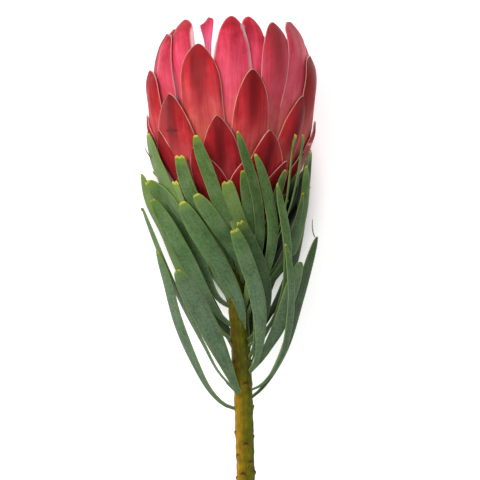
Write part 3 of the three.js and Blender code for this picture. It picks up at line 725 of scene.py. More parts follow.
hair_draw = draws_from(77)
hair_sets = []
for row in (6, 7):
    for bract in RINGS[row]:
        tuft = listed_for(TUFTS, row, bract, (0, 0, 0))
        for side in (-1, 1):
            length, reach, count = (*tuft[1:], 70) if tuft[0] == side else (0.5, 8, 14)
            hair_sets.append(margin_hairs(row, bract, side, length, reach, count, hair_draw))
hair_points = np.concatenate(hair_sets)
hair_uv = np.broadcast_to([[0, 0], [1, 0], [0, 0.5], [1, 0.5], [0, 1], [1, 1]],
                          (len(hair_points), 6, 2))
silk = speckled("white_silk_hair", 900.0, 2.0, [(0.35, "#E8C2C0"), (0.65, "#FBF1EE")], 0.5)
make_piece("silk_hairs", hair_points, repeated(HAIR_FACES, len(hair_points), 6), hair_uv, {},
           silk, None, "bracts")

# %% [markdown]
# ## The receptacle
#
# Under the rows sits the receptacle, the woody cone that every bract grows from. It shows
# only from below, between the lowest bracts, so a turned profile is enough.

# %% Receptacle
CONE_STATIONS, CONE_RING = 24, 36
cone_height = np.linspace(-1.6, 29.6, CONE_STATIONS)
cone = np.stack([receptacle_radius(cone_height), cone_height], -1)
woody = speckled("woody_receptacle", 420.0, 4.0, [(0.3, "#5A2A22"), (0.7, "#8A5A3A")], 0.7, 0.4)
make_piece("receptacle", turned(cone, CONE_RING), tube_faces(CONE_STATIONS, CONE_RING),
           tube_uv(CONE_STATIONS, CONE_RING), {}, woody, "flower_head", "bracts")

# %% [markdown]
# ## The florets
#
# Inside the cup of bracts stand hundreds of florets, each a slender woolly tube that ends in
# a soft club. They are set by the golden angle, the way a real head packs them, on a dome.
# Each has only a few dozen faces, because there are hundreds. A displaced dome would be
# lighter, but would look like a brush, not like separate florets.

# %% Florets
FLORETS = 460
FLORET_SIDES = 6
FLORET_ALONG = np.array([-4, 0, 2.6, 4.6, 6.0, 7.2, 8.2, 8.7])
FLORET_RADIUS = np.array([0.8, 0.8, 0.72, 0.8, 1.02, 1.0, 0.66, 0.12])
# Pairs of radius and height, up the core that the florets stand in.
FLORET_CORE = np.array([[6, 30.1], [13.6, 28.2], [18, 25.6], [21, 32], [24, 42], [26.6, 55],
                        [26.8, 68], [23.8, 77], [17.4, 82], [8.6, 84.5]])


def floret_tubes(count):
    """Tubes of 8 rings by 6 sides. Floret i stands at the golden angle times i and at a slope
    of sqrt(share) down the dome, leans towards the middle line, and swells at its end."""
    i = np.arange(count)
    azimuth = np.radians(i * GOLDEN_ANGLE)
    slope = np.radians(mix(4, 92, np.sqrt((i + 0.5) / count)))
    out = np.stack([np.sin(slope) * np.sin(azimuth) * 25, np.cos(slope) * 21,
                    np.sin(slope) * np.cos(azimuth) * 25], -1)
    up = unit(unit(out) + [0, 1.7, 0])
    side = np.stack([np.cos(azimuth), 0 * azimuth, -np.sin(azimuth)], -1)
    front = np.cross(up, side)
    length = (0.86 + 0.2 * np.sin(i * 2.4) * np.cos(i * 1.3))[:, None]
    turn = np.linspace(0, 2 * np.pi, FLORET_SIDES, endpoint=False)[:, None]
    around = side[:, None] * np.cos(turn) + front[:, None] * np.sin(turn)
    middle = ((out * 0.9 + [0, 62, 0])[:, None]
              + (FLORET_ALONG * length)[..., None] * up[:, None]
              - 0.9 * smooth(FLORET_ALONG / 9)[:, None] * front[:, None])
    return middle[:, :, None] + FLORET_RADIUS[:, None, None] * around[:, None]


print(FLORETS, "florets of", len(FLORET_ALONG), "rings")

# %% [markdown]
# ## Floret wool
#
# The tubes are woolly: a noise of fine grain breaks up both their colour and their surface,
# and a little sheen stands for the fuzz. Single wool hairs would be too many to export.

# %% Floret wool


def floret_wool():
    """Soft wool, red-brown at the foot and cream towards the end."""
    finish, node, shader = new_finish("floret_wool")
    along = node("Attribute", out="Fac", attribute_name="along")
    colour = node("ValToRGB", (along,), stops=[
        (0.0, "#7A3440"), (0.35, "#C88A8C"), (0.6, "#E2C4BC"), (0.85, "#EFE2D6"),
        (1, "#D9B8AE")])
    noise = node("TexNoise", {"Vector": node("TexCoord", out="Object"), "Scale": 1400.0,
                              "Detail": 3.0})
    plug(shader, {
        "Base Color": node("Mix", {0: noise, 6: colour, 7: linear("#B98C84")},
                           data_type="RGBA"),
        "Normal": node("Bump", {"Height": noise, "Strength": 0.6, "Distance": 0.0003}),
        "Roughness": 0.85, "Sheen Weight": 0.6})
    return finish


floret_rings = len(FLORET_ALONG)
floret_size = floret_rings * FLORET_SIDES
one_floret = [face[::-1] for face in tube_faces(floret_rings, FLORET_SIDES)]
core_faces = [[v + FLORETS * floret_size for v in face]
              for face in tube_faces(len(FLORET_CORE), CONE_RING)]
core_points = turned(FLORET_CORE, CONE_RING).reshape(-1, 3)
bundle_points = np.concatenate([floret_tubes(FLORETS).reshape(-1, 3), core_points])
bundle_along = np.concatenate([
    np.tile(np.repeat(FLORET_ALONG / FLORET_ALONG[-1], FLORET_SIDES), FLORETS),
    np.zeros(len(core_points))])
bundle_uv = np.stack([np.arange(len(bundle_points)) % FLORET_SIDES / FLORET_SIDES,
                      bundle_along], -1)
make_piece("floret_bundle", bundle_points,
           repeated(one_floret, FLORETS, floret_size) + core_faces, bundle_uv,
           {"along": bundle_along}, floret_wool(), "florets", "florets")

# %% [markdown]
# ## The stem's middle line
#
# The stem leaves the head with a slight lean and thins towards the cut. Leaves root on this
# line, so it comes before them.

# %% Stem line
STEM_BOTTOM, STEM_TOP = -127.0, -2.0


def stem_centre(height):
    """The stem's centre: it leans to the right by 9 mm along an exponential, and droops back
    by 3 mm with the square of the distance."""
    height = np.asarray(height, float)
    below = np.minimum(0, height)
    lean = 9 * (1 - np.exp(below / 68))
    return np.stack([lean, height, -3 * (below / STEM_BOTTOM) ** 2], -1)


def stem_radius(height):
    """4.6 mm at the cut, 5 mm from 100 mm above it."""
    return mix(4.6, 5, smooth((height - STEM_BOTTOM) / 100))


print("the stem leans", round(float(stem_centre(STEM_BOTTOM)[0]), 1), "mm over its length")

# %% [markdown]
# ## Where the leaves run
#
# The leaves are straps about 80 mm long that grow upwards round the stem. Each front leaf is
# listed by the points its middle line passes, how far forwards its tip stands, how high it
# lies over its neighbours, its width, the way it faces, how much shade is painted on it (a
# minus sign paints light instead) and how yellow its tip is, and where needed how blunt the
# tip is and how many teeth it has. A curve through the points gives the natural sweep;
# straight runs would look folded.

# %% Leaf paths
FRONT_LEAVES = [
    ([(3, -85.2), (-3, -82.8), (-10.4, -75.8), (-18.8, -60.5), (-27, -40.5), (-32.3, -20.5),
      (-37, -5.5)], 6, 0, 6.8, -50, 0.1, 0.7),
    ([(3, -77.5), (-6.5, -66), (-13.5, -53), (-24.8, -31.5), (-34.5, -10), (-42.3, 10),
      (-44.4, 16)], 2, 0, 5.2, -68, 0.05, 0.15),
    ([(6, -82.5), (2.3, -73.5), (-6.2, -54.6), (-15.8, -35), (-21.5, -25), (-27, -15)],
     24, 0, 10.4, -18, 0.15, 0.7, 0.1),
    ([(2.5, -44.5), (-5.5, -38), (-14, -25), (-25, -5), (-33.5, 10), (-39.5, 20.5)],
     13, 2, 8.5, -30, 0, 0.6, 0.1),
    ([(1, -51.5), (-3, -47.6), (-12, -37), (-24.6, -16.5), (-33.6, 5), (-41.2, 20),
      (-44.7, 33)], 2, 1, 7.5, -48, -0.2, 0.7),
    ([(1, -30), (-6.5, -20), (-17, -4.5), (-28.5, 13), (-35, 22), (-42, 29.5)],
     8, 1.2, 10.5, -38, 0.05, 1, 0.2),
    ([(6.5, -51), (5, -35), (1, -25), (-10.7, -5), (-19, 8.5), (-24.5, 19)],
     22, 3.2, 10, -22, 0.1, 1, 0.2),
    ([(7, -24), (6, -15), (0, -3), (-8.5, 10), (-17.5, 22.7)], 28, 2.6, 8, -18, 0, 0.9, 0.3),
    ([(0, -33), (-6, -22), (-24, 8), (-33.8, 30), (-38, 40), (-41.6, 53.5)],
     10, 0.4, 8, -48, -0.1, 1),
    ([(3, -20), (-5, 0), (-17, 17), (-22.5, 29), (-25.7, 41.7)],
     30, 0.8, 7.5, -28, 0.1, 1, 1, 2),
    ([(5, -22), (1, 2), (-5.5, 17), (-12, 35), (-15.7, 45), (-17.5, 52)],
     40, 1.8, 7, -15, 0.1, 1, 0.2),
    ([(0, -27), (-15, -2), (-25, 18.5), (-28, 29)], 22, 0, 5.5, -35, -0.3, 1.2, 1, 2),
    ([(8, -38), (11, -6.5), (7, 1), (2, 14), (-2, 29)], 36, 1.6, 8, 0, -0.2, 0.7, 0.9, 2),
    ([(7, -35), (14, -5), (13.7, 15), (12, 25), (9.2, 35), (6, 45), (3.2, 54)],
     42, 2, 5.2, 5, 0.3, 0.9),
    ([(8, -42), (18, -14), (21, 4), (19.2, 18.5), (15, 35), (12, 42.7)],
     37, 1.2, 5.5, 18, 0.15, 1.3, 0.1),
    ([(7, -24), (9, 0), (8.5, 14), (7, 27.5), (6, 34.5)], 36, 0.4, 5.5, 5, 0.1, 0.5, 0.4),
    ([(8, -20), (15, 0), (20.5, 12), (23.5, 23.5), (27, 35)], 26, 0, 4.5, 20, 0.35, 0.7),
    ([(9, -55), (20, -42), (27, -25), (28.5, -8), (27, 7.5), (24.5, 20), (23, 28)],
     29, 2.2, 5, 38, 0.15, 0.9),
    ([(8, -30), (19.5, -4), (26.5, 13), (29.5, 32.5), (31, 47.5), (32.2, 52)],
     30, 2.4, 5, 82, 0, 0.9, 0.4, 2),
    ([(8, -34), (21, -4), (29.5, 16), (33.7, 34), (35.5, 47.5), (36, 52.5)],
     26, 2, 5, 84, 0.05, 0.8, 0.3),
    ([(8.5, -56), (18, -40), (29.6, -17), (33.6, 0), (36.7, 22), (38.7, 38), (39.8, 44.5)],
     10, 0, 7.8, 50, 0.65, 0.7),
    ([(9, -40), (21.5, -19), (30.2, -6.5), (35.3, 10), (37.4, 25), (37.6, 37)],
     16, 0.6, 6.5, 46, 0.15, 0.9),
    ([(8, -36), (25, -10), (33, 9), (35, 17), (35.7, 23.5)], 18, 1.6, 4.5, 50, 0.5, 0.6),
    ([(8, -68.5), (13, -60), (14.7, -45), (13, -27.5), (7.2, -9), (1.7, 5)],
     35, 0, 7.6, 0, 0.05, 0.9, 0.7, 3),
    ([(9, -52), (14.6, -44), (17.2, -29), (14.4, -14), (8, 1), (4.5, 9)],
     31, 3, 7.6, 10, 0.4, 0.8, 0.6, 2),
    ([(9, -76), (16, -72), (26, -56.6), (30.2, -30), (28.7, -9), (27, -2)],
     24, 0, 4.2, 35, 0.1, 0.6),
    ([(9, -80.5), (16, -73.8), (26.2, -56.5), (34.2, -30), (38.8, -13), (42.9, 1.5)],
     12, 0, 5.8, 40, 0.45, 0),
    ([(8, -68), (14.6, -60), (19.6, -51.8), (24.2, -43), (30.6, -24), (34.7, -11)],
     18, 0, 7.6, 25, 0, 0, 0.2),
    ([(0, -34.5), (-6.4, -29.3), (-17.2, -8.6), (-31, 14), (-34, 20)],
     6, 0.1, 8.5, -40, 0.3, 0.4),
    # The next three leaves fill the gaps on the right and carry full painted shade, nearly
    # black.
    ([(8, -26), (18, -10), (27, 6), (33, 20), (36.6, 35)], 14, 0, 9.5, 50, 1, 0.2),
    ([(8, -32), (19, -15), (28, 2), (34, 16), (37, 27)], 6, 0, 9, 55, 1, 0.2),
    ([(8, -20), (16, -6), (24, 8), (30, 22), (33, 33)], 20, 0, 8, 42, 0.95, 0.2),
    ([(8, -62), (11, -55.5), (13.2, -48), (13.5, -36), (12, -20)], 16, 0, 5, 5, 0.2, 0.3),
]
# Three leaves of the far side are turned, so that they don't show in the gaps of the front.
TURNED = {3: 132, 5: 196, 7: 207}
FAR_LEAVES = 15
FAR_SPREAD = np.radians(27)
RESTING_WITHIN = np.radians(38)


def far_leaves(count):
    """Leaves of the far side: golden angle between 92 and 268 degrees, roots from 80 to 22 mm
    below the head. They leave the stem steeply and spread by 27 degrees, and those straight
    below rest on the table."""
    draw = draws_from(7)
    leaves = []
    for i in range(count):
        azimuth = np.radians(TURNED.get(i, mix(92, 268, (i * GOLDEN_ANGLE) % 360 / 360)))
        root = mix(-80, -22, (i + 0.5) / count)
        length = 78 * draw(0.88, 1.1)
        tip = min(root + length * np.cos(FAR_SPREAD), 34)
        reach = max(length * np.sin(FAR_SPREAD) + 3, float(head_radius(tip)) + 2)
        start = float(stem_centre(root)[0])
        tip_x = reach * np.sin(azimuth)
        path = [(start + 2 * np.sin(azimuth), root),
                (mix(start, tip_x, 0.14), mix(root, tip, 0.25)),
                (mix(start, tip_x, 0.42) + draw(-1, 1), mix(root, tip, 0.52)), (tip_x, tip)]
        resting = -np.cos(azimuth) > np.cos(RESTING_WITHIN)
        forward = -AXIS_HEIGHT if resting else reach * np.cos(azimuth)
        # The sixth number paints a little shade on the far leaves.
        leaves.append((path, forward, (i % 3) * 0.8, draw(8, 10.5), np.degrees(azimuth),
                       0.1 * (i % 3), 0.8, 0.3 * (i % 4 == 0)))
    return leaves


LEAVES = FRONT_LEAVES + far_leaves(FAR_LEAVES)
print(len(LEAVES), "leaves")

# %% [markdown]
# ## A curve through points
#
# Leaves and threads sweep through a few points. The curve has to pass through every one of
# them and must not loop between near ones, which is what a centripetal curve does. A Bezier
# curve would need two handles at every point.

# %% Curves


def through(points, count=600):
    """A centripetal Catmull-Rom curve: each span is a cubic whose end slopes come from the
    neighbouring points, weighted by the square root of the distances; then evened out so that
    equal steps are equal lengths."""
    p = np.asarray(points, float)
    p = np.vstack([2 * p[0] - p[1], p, 2 * p[-1] - p[-2]])
    step = np.maximum(np.linalg.norm(np.diff(p, axis=0), axis=1) ** 0.5, 1e-4)[:, None]
    d0, d1, d2 = step[:-2], step[1:-1], step[2:]
    a, b, c, d = p[:-3], p[1:-2], p[2:-1], p[3:]
    m1 = d1 * ((b - a) / d0 - (c - a) / (d0 + d1) + (c - b) / d1)
    m2 = d1 * ((c - b) / d1 - (d - b) / (d1 + d2) + (d - c) / d2)
    t = np.linspace(0, 1, 60, endpoint=False)[None, :, None]
    b, c, m1, m2 = (v[:, None] for v in (b, c, m1, m2))
    curve = ((2 * t**3 - 3 * t**2 + 1) * b + (t**3 - 2 * t**2 + t) * m1
             + (3 * t**2 - 2 * t**3) * c + (t**3 - t**2) * m2)
    curve = np.vstack([curve.reshape(-1, 3), p[-2]])
    length = run_length(curve)
    return sampled(curve, length, np.linspace(0, length[-1], count)), length[-1]


def run_length(points):
    """The length of a line of points up to each of them."""
    steps = np.linalg.norm(np.diff(points, axis=0), axis=1)
    return np.concatenate([[0], np.cumsum(steps)])


def sampled(points, places, wanted):
    """Points between the given ones, which stand at the places, at the wanted places."""
    return np.stack([np.interp(wanted, places, points[:, k]) for k in range(3)], -1)


def leaf_line(path, forward):
    """The middle line: the path, its root inside the stem, its depth growing from the stem to
    the tip's with the length to the power 0.9."""
    flat = np.asarray(path, float)
    stem = stem_centre(flat[0, 1])
    run = run_length(flat)
    flat[0, 0] = np.clip(flat[0, 0], stem[0] - 2, stem[0] + 2)
    depth = mix(stem[2] + 1.5 * np.sign(forward), forward, (run / run[-1]) ** 0.9)
    return through(np.stack([flat[:, 0], flat[:, 1], depth], -1))


print("the first leaf is", round(float(leaf_line(*LEAVES[0][:2])[1]), 1), "mm long")

# %% [markdown]
# ## One leaf
#
# A leaf is a strap with a narrow stalk end, a round tip, a shallow trough across it, a fine
# midrib and a thick pale margin. The blade is a grid along the curve: across it, the points
# step sideways and dip; the whole is then pushed forwards wherever it would touch the head.

# %% Leaf surface
LEAF_CLEARANCE = 1.25
LEAF_LOWEST = 0.47 - AXIS_HEIGHT
LEAF_THICKNESS = 0.8
LEAF_NUMBERS = 9
LEAF_MARKS = ("tip_mm", "edge_mm", "side_mm", "height_mm", "tone", "shade", "callus")


def clear_of_head(points, side, above):
    """Pushes points forwards or backwards out of the head, and up off the table."""
    x, h, f = np.moveaxis(points, -1, 0)
    least = np.where(h > -4, pressed_radius(np.arctan2(x, f), h) + LEAF_CLEARANCE + above, 0)
    clear = side * np.sqrt(np.maximum(0, least**2 - x**2))
    depth = np.where(np.hypot(x, f) < least, clear, f)
    return np.stack([x, h, np.maximum(LEAF_LOWEST, depth)], -1)


def leaf_half_width(width, share, blunt):
    """A quarter of the width at the stalk, full past the middle, and at the tip a quarter of a
    circle, or three quarters of the full width where the tip is blunt."""
    stalk = mix(0.24, 1, smooth(share / 0.58))
    end = np.maximum(0, (share - 0.74) / 0.26)
    return width / 2 * stalk * mix(np.sqrt(1 - end**2), 1 - 0.3 * end**3, blunt)


def leaf_front(path, forward, above, width, faces, blunt, teeth, share, across):
    """The front grid of one leaf, with its half widths and its length in millimetres. Teeth
    push the end forwards and back by a cosine across the tip."""
    line, length = leaf_line(path, forward)
    places = np.arange(len(line))
    wanted = share[:, 0] * places[-1]
    centre = sampled(line, places, wanted)
    along = unit(sampled(np.gradient(line, axis=0), places, wanted))
    outwards = np.array([np.sin(np.radians(faces)), 0, np.cos(np.radians(faces))])
    normal = unit(outwards - along * (along @ outwards)[:, None])
    sideways = np.cross(along, normal)
    half = np.maximum(leaf_half_width(width, share, min(blunt, 0.98)), 0.15)
    dip = 0.16 * half * across**2 + 0.12 * np.exp(-(across / 0.2) ** 2)
    bite = 0.5 if teeth else 0.0
    tooth = -bite * np.cos(np.pi * teeth * (across + 1)) * smooth((share - 0.96) / 0.04)
    grid = (centre[:, None] + sideways[:, None] * (across * half)[..., None]
            - normal[:, None] * dip[..., None] + along[:, None] * tooth[..., None])
    return clear_of_head(grid, np.sign(forward), above), half, length


def leaf_blades(stations=44, columns=13):
    """All leaves, joined. Each is as thick in front of its middle line as behind it."""
    draw = draws_from(23)
    across = np.linspace(-1, 1, columns)[None]
    share = 1 - (1 - np.linspace(0, 1, stations)[:, None]) ** 1.7
    blades = []
    for leaf in LEAVES:
        *shape, shade, callus, blunt, teeth = (*leaf, *[0] * (LEAF_NUMBERS - len(leaf)))
        front, half, length = leaf_front(*shape, blunt, teeth, share, across)
        to_tip = (1 - share) * length
        edge = np.minimum(half - np.abs(across * half), to_tip * 0.8 + 0.05)
        values = np.broadcast_arrays(to_tip, edge, across * half, front[..., 1], draw(0, 1),
                                     shade, callus)
        solid = blade(front + normals(front) * LEAF_THICKNESS / 2,
                      LEAF_THICKNESS * (1 - 0.3 * across**2))
        blades.append((solid, [both_faces(v) for v in values]))
    return joined(blades, LEAF_MARKS, across, share)


print("marks on each point of a leaf:", ", ".join(LEAF_MARKS))

# %% [markdown]
# ## Leaf skin
#
# The leaf is leathery too, with a waxy grey-green bloom, greener towards the head where the
# leaves are young. The margin is a thin translucent rim, yellow-green, and each tip ends in
# a hard yellow point. Its coats go on like those of the bracts.

# %% Leaf skin


def waxy_leaf():
    """Waxy leaf: grey-green low on the stem and fresher beside the head, covered by veins,
    mottles and patches of bloom, darker by painted shade on leaves that lie in shade and
    lighter by painted light on a few lit ones, with a thin margin and a yellow tip."""
    finish, node, shader = new_finish("waxy_leaf")
    mark = {m: node("Attribute", out="Fac", attribute_name=m) for m in LEAF_MARKS}
    # Veins 1 mm apart, stretched ten times, mottles of 1 mm and patches of bloom of 8 mm.
    veins = node("TexNoise", {"Vector": grain_place(node, mark, 0.1, 50.0), "Scale": 0.9,
                              "Detail": 3.0})
    place = node("TexCoord", out="Object")
    mottle = node("TexNoise", {"Vector": place, "Scale": 950.0, "Detail": 4.0})
    bloom = node("TexNoise", {"Vector": place, "Scale": 120.0, "Detail": 3.0})
    skin = node("ValToRGB", (node("MapRange", (mark["height_mm"], -75.0, 50.0)),), stops=[
        (0, "#5C7457"), (0.36, "#60795A"), (0.56, "#567648"), (0.72, "#577640"),
        (1, "#516E2C")])
    # The shade mark paints shade, towards near black, on leaves that lie in shade; a minus sign
    # paints light, towards pale green, on a few lit leaves.
    light = node("Math", (mark["shade"], -1.0), operation="MULTIPLY", use_clamp=True)
    # The horny margin is a thin yellow-green line, fainter on leaves with painted shade.
    rim = node("MapRange", (mark["edge_mm"], 0.1, 0.5, 0.7, 0.0), **EASED)
    lit = node("MapRange", (mark["shade"], 0.0, 1.0, 1.0, 0.25))
    coats = [(0.35, veins, "OVERLAY"), (0.7, mottle, "OVERLAY"), (0.35, bloom, "OVERLAY"),
             (node("MapRange", (bloom, 0.45, 0.7, 0.0, 0.35)), linear("#72805F"), "MIX"),
             (node("MapRange", (mark["shade"],)), linear("#0A1406"), "MIX"),
             (light, linear("#A4B860"), "MIX"),
             (node("Math", (rim, lit), operation="MULTIPLY"), linear("#859B4C"), "MIX")]
    # The tip yellows over 7 mm and ends in a callus of 2 mm.
    ends = node("Math", (mottle, 1.6, mark["tip_mm"]), operation="MULTIPLY_ADD")
    for reach, strength, code in ((7.0, 0.45, "#7E9A38"), (2.4, 1.0, "#C6BE42")):
        near = node("MapRange", (ends, reach * 0.45, reach, strength, 0.0), **EASED)
        yellow = node("Math", (near, mark["callus"]), operation="MULTIPLY", use_clamp=True)
        coats.append((yellow, linear(code), "MIX"))
    for share, colour, mode in coats:
        skin = node("Mix", {0: share, 6: skin, 7: colour}, data_type="RGBA", blend_type=mode)
    plug(shader, {
        "Base Color": skin, "Roughness": node("MapRange", (mottle, 0.0, 1.0, 0.42, 0.62)),
        "Normal": node("Bump", {"Height": veins, "Strength": 0.3, "Distance": 0.0003}),
        "IOR": 1.45, "Specular IOR Level": 0.2})
    return finish


make_piece("leaf_blades", *leaf_blades(), waxy_leaf(), "leafy_stem", "foliage")

# %% [markdown]
# ## Two dry threads
#
# Two dead floral threads cling to the leaves, one brown beside the upper left leaf and one
# grey above the tip of a right leaf. Each is a thin tube along a curve, six-sided, because
# nothing that thin shows its section.

# %% Dry threads
THREADS = [[(-39.6, 40.2, 10), (-40.6, 41.8, 11), (-42.3, 44.3, 11.4), (-43.1, 46.2, 11)],
           [(42.0, 1.4, 11), (41.3, 3.0, 11), (40.7, 6.6, 11.2), (40.8, 10.5, 11)]]
THREAD_STATIONS, THREAD_SIDES = 14, 6


def thread_tube(points):
    """Rings round a curve, 0.28 mm in radius and closing to a point at its end."""
    line = through(points, THREAD_STATIONS)[0]
    along = unit(np.gradient(line, axis=0))
    side = unit(np.cross(along, [0, 0, 1]))
    over = np.cross(side, along)
    turn = np.linspace(0, 2 * np.pi, THREAD_SIDES, endpoint=False)[None, :, None]
    thin = 0.28 * np.sqrt(1 - np.linspace(0, 0.97, THREAD_STATIONS) ** 3)[:, None, None]
    return line[:, None] + thin * (side[:, None] * np.cos(turn) + over[:, None] * np.sin(turn))


dry = speckled("dry_thread", 700.0, 2.0, [(0.35, "#5A4234"), (0.65, "#8C8068")], 0.8)
make_piece("dry_threads", np.stack([thread_tube(points) for points in THREADS]),
           repeated(tube_faces(THREAD_STATIONS, THREAD_SIDES), len(THREADS),
                    THREAD_STATIONS * THREAD_SIDES),
           np.stack([tube_uv(THREAD_STATIONS, THREAD_SIDES)] * len(THREADS)), {}, dry, None,
           "foliage")

# %% [markdown]
# ## The woody stem
#
# The stem is a twig with young bark: ridged lengthwise, yellow-brown to olive, with a small
# dark crescent wherever a leaf has dropped. The tube is one grid round and along the line,
# and the bark and the scars are worked into its radius, so they show in the outline too.

# %% Stem
STEM_STATIONS, STEM_RING = 300, 52
STEM_MARKS = ("ledge", "scar", "sun", "height_mm")
# Height and azimuth of each leaf scar.
STEM_SCARS = np.array([
    (-50.5, -75), (-61, -62), (-72, 20), (-83, 100), (-96, -86), (-98, 84), (-102.5, 7),
    (-108, -58), (-111.5, 39), (-116, 77), (-117.5, -19), (-119, -84), (-123, 20),
    (-56, 150), (-68, -150), (-79, 175), (-90, 140), (-94, -160), (-104, 165), (-107, -120),
    (-113, 130), (-121, -150)], float)


def scar_fields(turn, height):
    """Two fields round and along the stem: the ledge that a fallen leaf leaves, which rises
    over 3 mm and drops in half a millimetre, and the dark crescent just above it."""
    side = (turn[..., None] - np.radians(STEM_SCARS[:, 1]) + np.pi) % (2 * np.pi) - np.pi
    side = side * 4.3
    up = height[..., None] - STEM_SCARS[:, 0] + 0.3 * side**2
    wide = np.exp(-((side / 1.8) ** 2))
    ledge = wide * smooth((up + 3.2) / 3.0) * (1 - smooth((up - 0.1) / 0.5))
    dark = np.exp(-((side / 1.6) ** 4)) * np.exp(-(((up - 0.3) / 0.62) ** 2))
    return ledge.max(-1), dark.max(-1)


def stem_tube():
    """The stem's radius plus the ledges, lengthwise ridges and small waves of the bark."""
    height = np.linspace(STEM_BOTTOM, STEM_TOP, STEM_STATIONS)[:, None]
    turn = np.linspace(0, 2 * np.pi, STEM_RING, endpoint=False)[None]
    turn, height = np.broadcast_arrays(turn, height)
    ledge, dark = scar_fields(turn, height)
    ridges = 0.10 * np.sin(9 * turn + 0.03 * height) + 0.07 * np.sin(14 * turn - height * 0.11)
    waves = 0.12 * np.sin(height * 0.55 + 2 * turn) + 0.08 * np.sin(height * 1.3 - 3 * turn)
    radius = stem_radius(height) + 0.75 * ledge - 0.35 * dark + ridges + waves - 0.1
    radius = radius - 0.5 * smooth((STEM_BOTTOM + 0.8 - height) / 0.8)
    around = along_azimuth(turn, 0, radius)
    return stem_centre(height) + around, (ledge, dark, -np.sin(turn), height)


print(len(STEM_SCARS), "leaf scars")

# %% [markdown]
# ## Young bark
#
# One side of the twig was turned to the sun and is orange-yellow, the rest is olive. The
# fibres run lengthwise, so their noise is read from the UV map, which goes round and along
# the tube and follows its bend.

# %% Young bark


def young_bark():
    """Young bark: orange-yellow on the side that was turned to the sun and olive elsewhere,
    greener up among the leaves and darkened there by painted shade of the leaves, fibrous,
    with tan ledges and dark scars."""
    finish, node, shader = new_finish("young_bark")
    mark = {m: node("Attribute", out="Fac", attribute_name=m) for m in STEM_MARKS}
    # Fibres about 0.6 mm wide and 6 mm long: the UV is 27 mm round by 125 mm long.
    place = node("Mapping", {"Vector": node("UVMap", uv_map="blade_uv"),
                             "Scale": (27.0, 20.0, 1.0)})
    fibre = node("TexNoise", {"Vector": place, "Scale": 1.6, "Detail": 4.0})
    cloud = node("TexNoise", {"Vector": node("TexCoord", out="Object"), "Scale": 260.0,
                              "Detail": 3.0})
    sun = node("Math", (cloud, 0.5, mark["sun"]), operation="MULTIPLY_ADD")
    skin = node("ValToRGB", (node("MapRange", (sun, -0.9, 1.3)),), stops=[
        (0.1, "#56600F"), (0.45, "#6C6408"), (0.65, "#7E6A08"), (0.9, "#9E7608")])
    # Up among the leaves the bark is greener and carries painted shade of the leaves over it.
    green_and_painted_shade = node("MapRange", (mark["height_mm"], -88.0, -58.0, 0.0, 0.65), **EASED)
    ledges = node("Math", (mark["ledge"], 0.35), operation="MULTIPLY")
    coats = [(green_and_painted_shade, linear("#41480A"), "MIX"), (0.7, fibre, "OVERLAY"),
             (0.5, cloud, "OVERLAY"), (ledges, linear("#9A6420"), "MIX"),
             (mark["scar"], linear("#36140A"), "MIX")]
    for share, colour, mode in coats:
        skin = node("Mix", {0: share, 6: skin, 7: colour}, data_type="RGBA", blend_type=mode)
    plug(shader, {
        "Base Color": skin, "Roughness": 0.55, "Specular IOR Level": 0.12,
        "Normal": node("Bump", {"Height": fibre, "Strength": 0.5, "Distance": 0.0005})})
    return finish


stem_points, stem_values = stem_tube()
make_piece("woody_stem", stem_points, tube_faces(STEM_STATIONS, STEM_RING),
           tube_uv(STEM_STATIONS, STEM_RING), dict(zip(STEM_MARKS, stem_values)),
           young_bark(), "leafy_stem", "foliage")

# %% [markdown]
# ## Table
#
# The flower lies on pale paper that glows a little, as on a light table, so it is white all
# round. An oval under the lower half of the head doesn't glow, because the gaps between the
# leaves are dark there. A stronger lamp would whiten the paper too, but bleach the bracts.

# %% Table
TABLE_HALF = 3
OVAL_CENTRE, OVAL_HALF_WIDTH, OVAL_HALF_LENGTH = -0.04, 0.036, 0.05
table_mesh = bpy.data.meshes.new("table")
table_mesh.from_pydata([(x * TABLE_HALF, y * TABLE_HALF, 0)
                        for x, y in ((-1, -1), (1, -1), (1, 1), (-1, 1))], [], [(0, 1, 2, 3)])
table = put("table", table_mesh)
paper, paper_node, paper_shader = new_finish("pale_paper")
spot = paper_node("Mapping", {"Vector": paper_node("TexCoord", out="Object"),
                              "Location": (0.0, -OVAL_CENTRE / OVAL_HALF_LENGTH, 0.0),
                              "Scale": (1 / OVAL_HALF_WIDTH, 1 / OVAL_HALF_LENGTH, 0.0)})
reach = paper_node("VectorMath", (spot,), operation="LENGTH")
plug(paper_shader, {
    "Base Color": linear("#F4F4F4"), "Roughness": 0.9, "Specular IOR Level": 0.0,
    "Emission Color": (1, 1, 1, 1),
    "Emission Strength": paper_node("MapRange", (reach, 0.8, 1.4, 0.0, 0.6), **EASED)})
table_mesh.materials.append(paper)
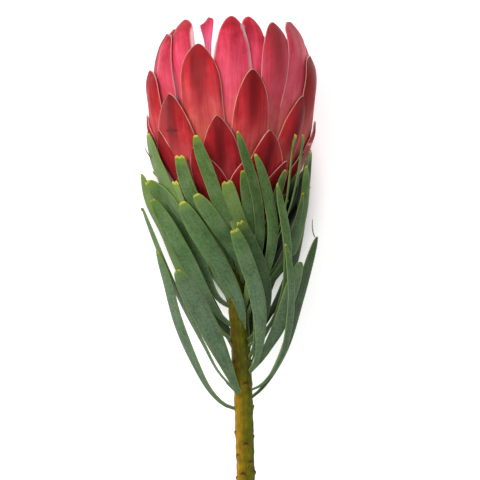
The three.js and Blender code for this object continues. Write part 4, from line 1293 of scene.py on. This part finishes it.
table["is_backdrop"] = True
print("table", 2 * TABLE_HALF, "m wide")

# %% [markdown]
# ## Light
#
# Broad soft lights, the main one from the upper left, leave the right side of the flower in
# shade. Small lamps would draw hard shadows between the bracts, which the photo doesn't have.

# %% Light


def soft_light(name, place, target, size, power):
    """A square area light at a place, turned so that its face looks at the target."""
    light = bpy.data.lights.new(name, "AREA")
    light.energy = power
    light.size = size
    lamp = put(name, light)
    lamp.location = place
    away = np.array(place) - np.array(target)
    lamp.rotation_euler = (float(np.arctan2(np.hypot(away[0], away[1]), away[2])), 0,
                           float(np.arctan2(away[0], -away[1])))


soft_light("key_light", (-0.8, 0.45, 0.95), (0, -0.05, 0.04), 0.5, 9)
soft_light("top_light", (-0.15, 0.2, 1.7), (0, -0.05, 0.04), 1.3, 8)
world = bpy.data.worlds.new("studio")
world.use_nodes = True
plug(world.node_tree.nodes["Background"], {"Color": (1, 1, 1, 1), "Strength": 0.42})
bpy.context.scene.world = world
bpy.context.scene.view_settings.view_transform = "Standard"
print("two soft lights and a white surround")

# %% [markdown]
# ## Camera
#
# The camera hangs three metres above with a long lens, so that the head is not drawn larger
# than the stem. Its view is 240 mm wide at 56 mm above the table, among the front bracts.

# %% Camera
CAMERA_HEIGHT = 3.0
VIEW_HEIGHT = 0.056
VIEW_WIDTH = 0.240
SENSOR_WIDTH = 36
camera_data = bpy.data.cameras.new("photo_camera")
camera_data.sensor_width = SENSOR_WIDTH
camera_data.lens = SENSOR_WIDTH * CAMERA_HEIGHT / VIEW_WIDTH
camera = put("photo_camera", camera_data)
camera.location = (0.0045, -REST_HEIGHT * MM, VIEW_HEIGHT + CAMERA_HEIGHT)
bpy.context.scene.camera = camera
print("lens", round(camera_data.lens), "mm")

# %% [markdown]
# ## The size of the dressed flower
#
# The dressed flower has to stay in the box of the solids, so both boxes are kept.

# %% Size
shown_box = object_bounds()
boxes = {"cad": [list(map(float, corner)) for corner in solid_box],
         "visual": [list(map(float, corner)) for corner in shown_box]}
print("solid box", boxes["cad"])
print("shown box", boxes["visual"])
